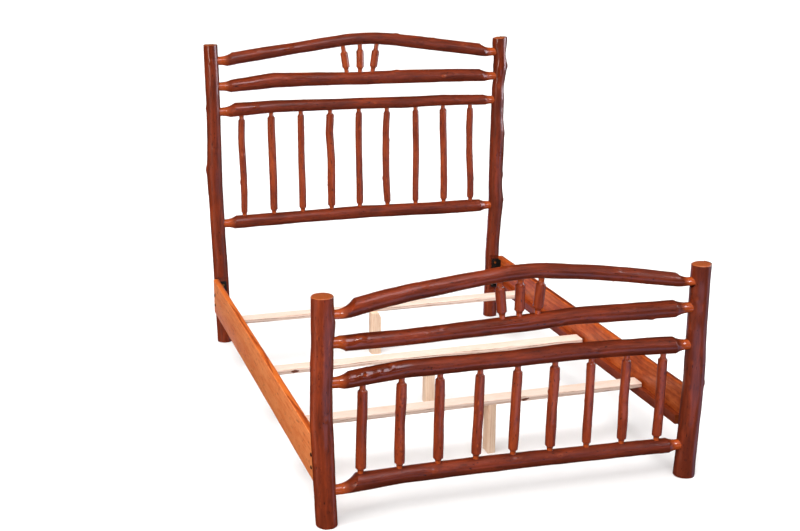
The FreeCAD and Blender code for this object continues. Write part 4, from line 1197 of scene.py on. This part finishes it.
for node, look in boardLooks.items():
    if node.startswith("side_rail"):
        look.update(materials=(railWood, railEnd, railTop), edgeUp=True, ease=0.0035, wave=0.0012,
                    slot="side_rail_pine", body="root", bores=boltBores(-1 if node.endswith("left") else 1))
    elif node.startswith("cleat"):
        look.update(materials=(cleatWood, railEnd), ease=0.002, wave=0.0008, slot="cleat_pine", body="root")
    elif "leg" in node:
        look.update(materials=(legWood, legWood), ease=0.003, wave=0.0006, slot="leg_pine",
                    body="slat_" + node.split("_")[2])
    else:
        # the slats' edges and ends take a lighter copy of the slat wood: painted light on the upright faces
        look.update(materials=(slatWood, slatEdgePaintedLight, slatEdgePaintedLight), edgeUp=False, ease=0.003, wave=0.0008,
                    slot="slat_pine", body=node)
    sawnBoard(node, look)
    print("made", node)


# Steel

def steelFinish(name, look):
    # Mild steel under powder coat, black oxide or zinc: a fine even texture, and rubbed lighter
    # in places about 11 mm wide.
    material, tree = newMaterial(name)
    place = add(tree, "TexCoord", {}, {}).outputs["Object"]
    texture = add(tree, "TexNoise", {}, {"Vector": place, "Scale": 1 / look["grain"],
                                         "Detail": 3}).outputs["Fac"]
    wear = add(tree, "TexNoise", {}, {"Vector": place, "Scale": 90, "Detail": 3}).outputs["Fac"]
    lighter = add(tree, "MapRange", {}, {0: wear, 1: 0.35, 2: 0.75, 3: 0.85, 4: 1.5}).outputs[0]
    tint = colour(look["tint"])
    if look.get("upper"):
        height, upperTint = look["upper"]
        upward = add(tree, "SeparateXYZ", {}, {0: place}).outputs[2]
        above = add(tree, "Math", {"operation": "GREATER_THAN"}, {0: upward, 1: height}).outputs[0]
        tint = add(tree, "Mix", {"data_type": "RGBA"}, {0: above, 6: tint, 7: colour(upperTint)}).outputs[2]
    body = add(tree, "Mix", {"data_type": "RGBA", "blend_type": "MULTIPLY"},
               {0: 1.0, 6: tint, 7: lighter}).outputs[2]
    relief = add(tree, "Bump", {}, {"Strength": 0.5, "Distance": look["relief"],
                                    "Height": texture}).outputs[0]
    rough = add(tree, "MapRange", {}, {0: texture, 1: 0.3, 2: 0.7, 3: look["rough"] - 0.08,
                                       4: look["rough"] + 0.1}).outputs[0]
    steel = add(tree, "BsdfPrincipled", {}, {"Base Color": body, "Metallic": look["metallic"],
                                             "Roughness": rough, "Normal": relief})
    finishMaterial(tree, steel.outputs[0])
    return material


# grain is the texture's size and relief its height, in metres; upper is the height on the bed above
# which the steel takes a second colour, and that colour; below it the steel stays darker
steelFinishes = {
    "black_powder_coated_steel": {
        "tint": "#14120F", "metallic": 0.0, "rough": 0.5, "grain": 0.0012, "relief": 0.00008},
    "black_oxide_steel": {
        "tint": "#2A2624", "metallic": 0.9, "rough": 0.38, "grain": 0.0008, "relief": 0.00003},
    "zinc_plated_steel": {
        "tint": "#B9B8B4", "metallic": 1.0, "rough": 0.32, "grain": 0.0006, "relief": 0.00002},
    "yellow_zinc_plated_steel": {
        "tint": "#332A20", "metallic": 1.0, "rough": 0.35, "grain": 0.0006, "relief": 0.00002,
        "upper": (0.25, "#C9A05A")},
}
powderCoat, blackOxide, zincPlate, lagPlate = (
    steelFinish(name, look) for name, look in steelFinishes.items())

for material, nodes in (
        (powderCoat, ("bracket_head_left", "bracket_head_right", "bracket_foot_left", "bracket_foot_right")),
        (blackOxide, ("carriage_bolts", "cleat_screws")),
        (zincPlate, ("bolt_washers", "bolt_nuts")),
        (lagPlate, ("lag_bolts", "slat_screws_head", "slat_screws_middle", "slat_screws_foot"))):
    for node in nodes:
        dress(node, material)
print("steel dressed")

for guide in guides.values():
    bpy.data.objects.remove(guide)
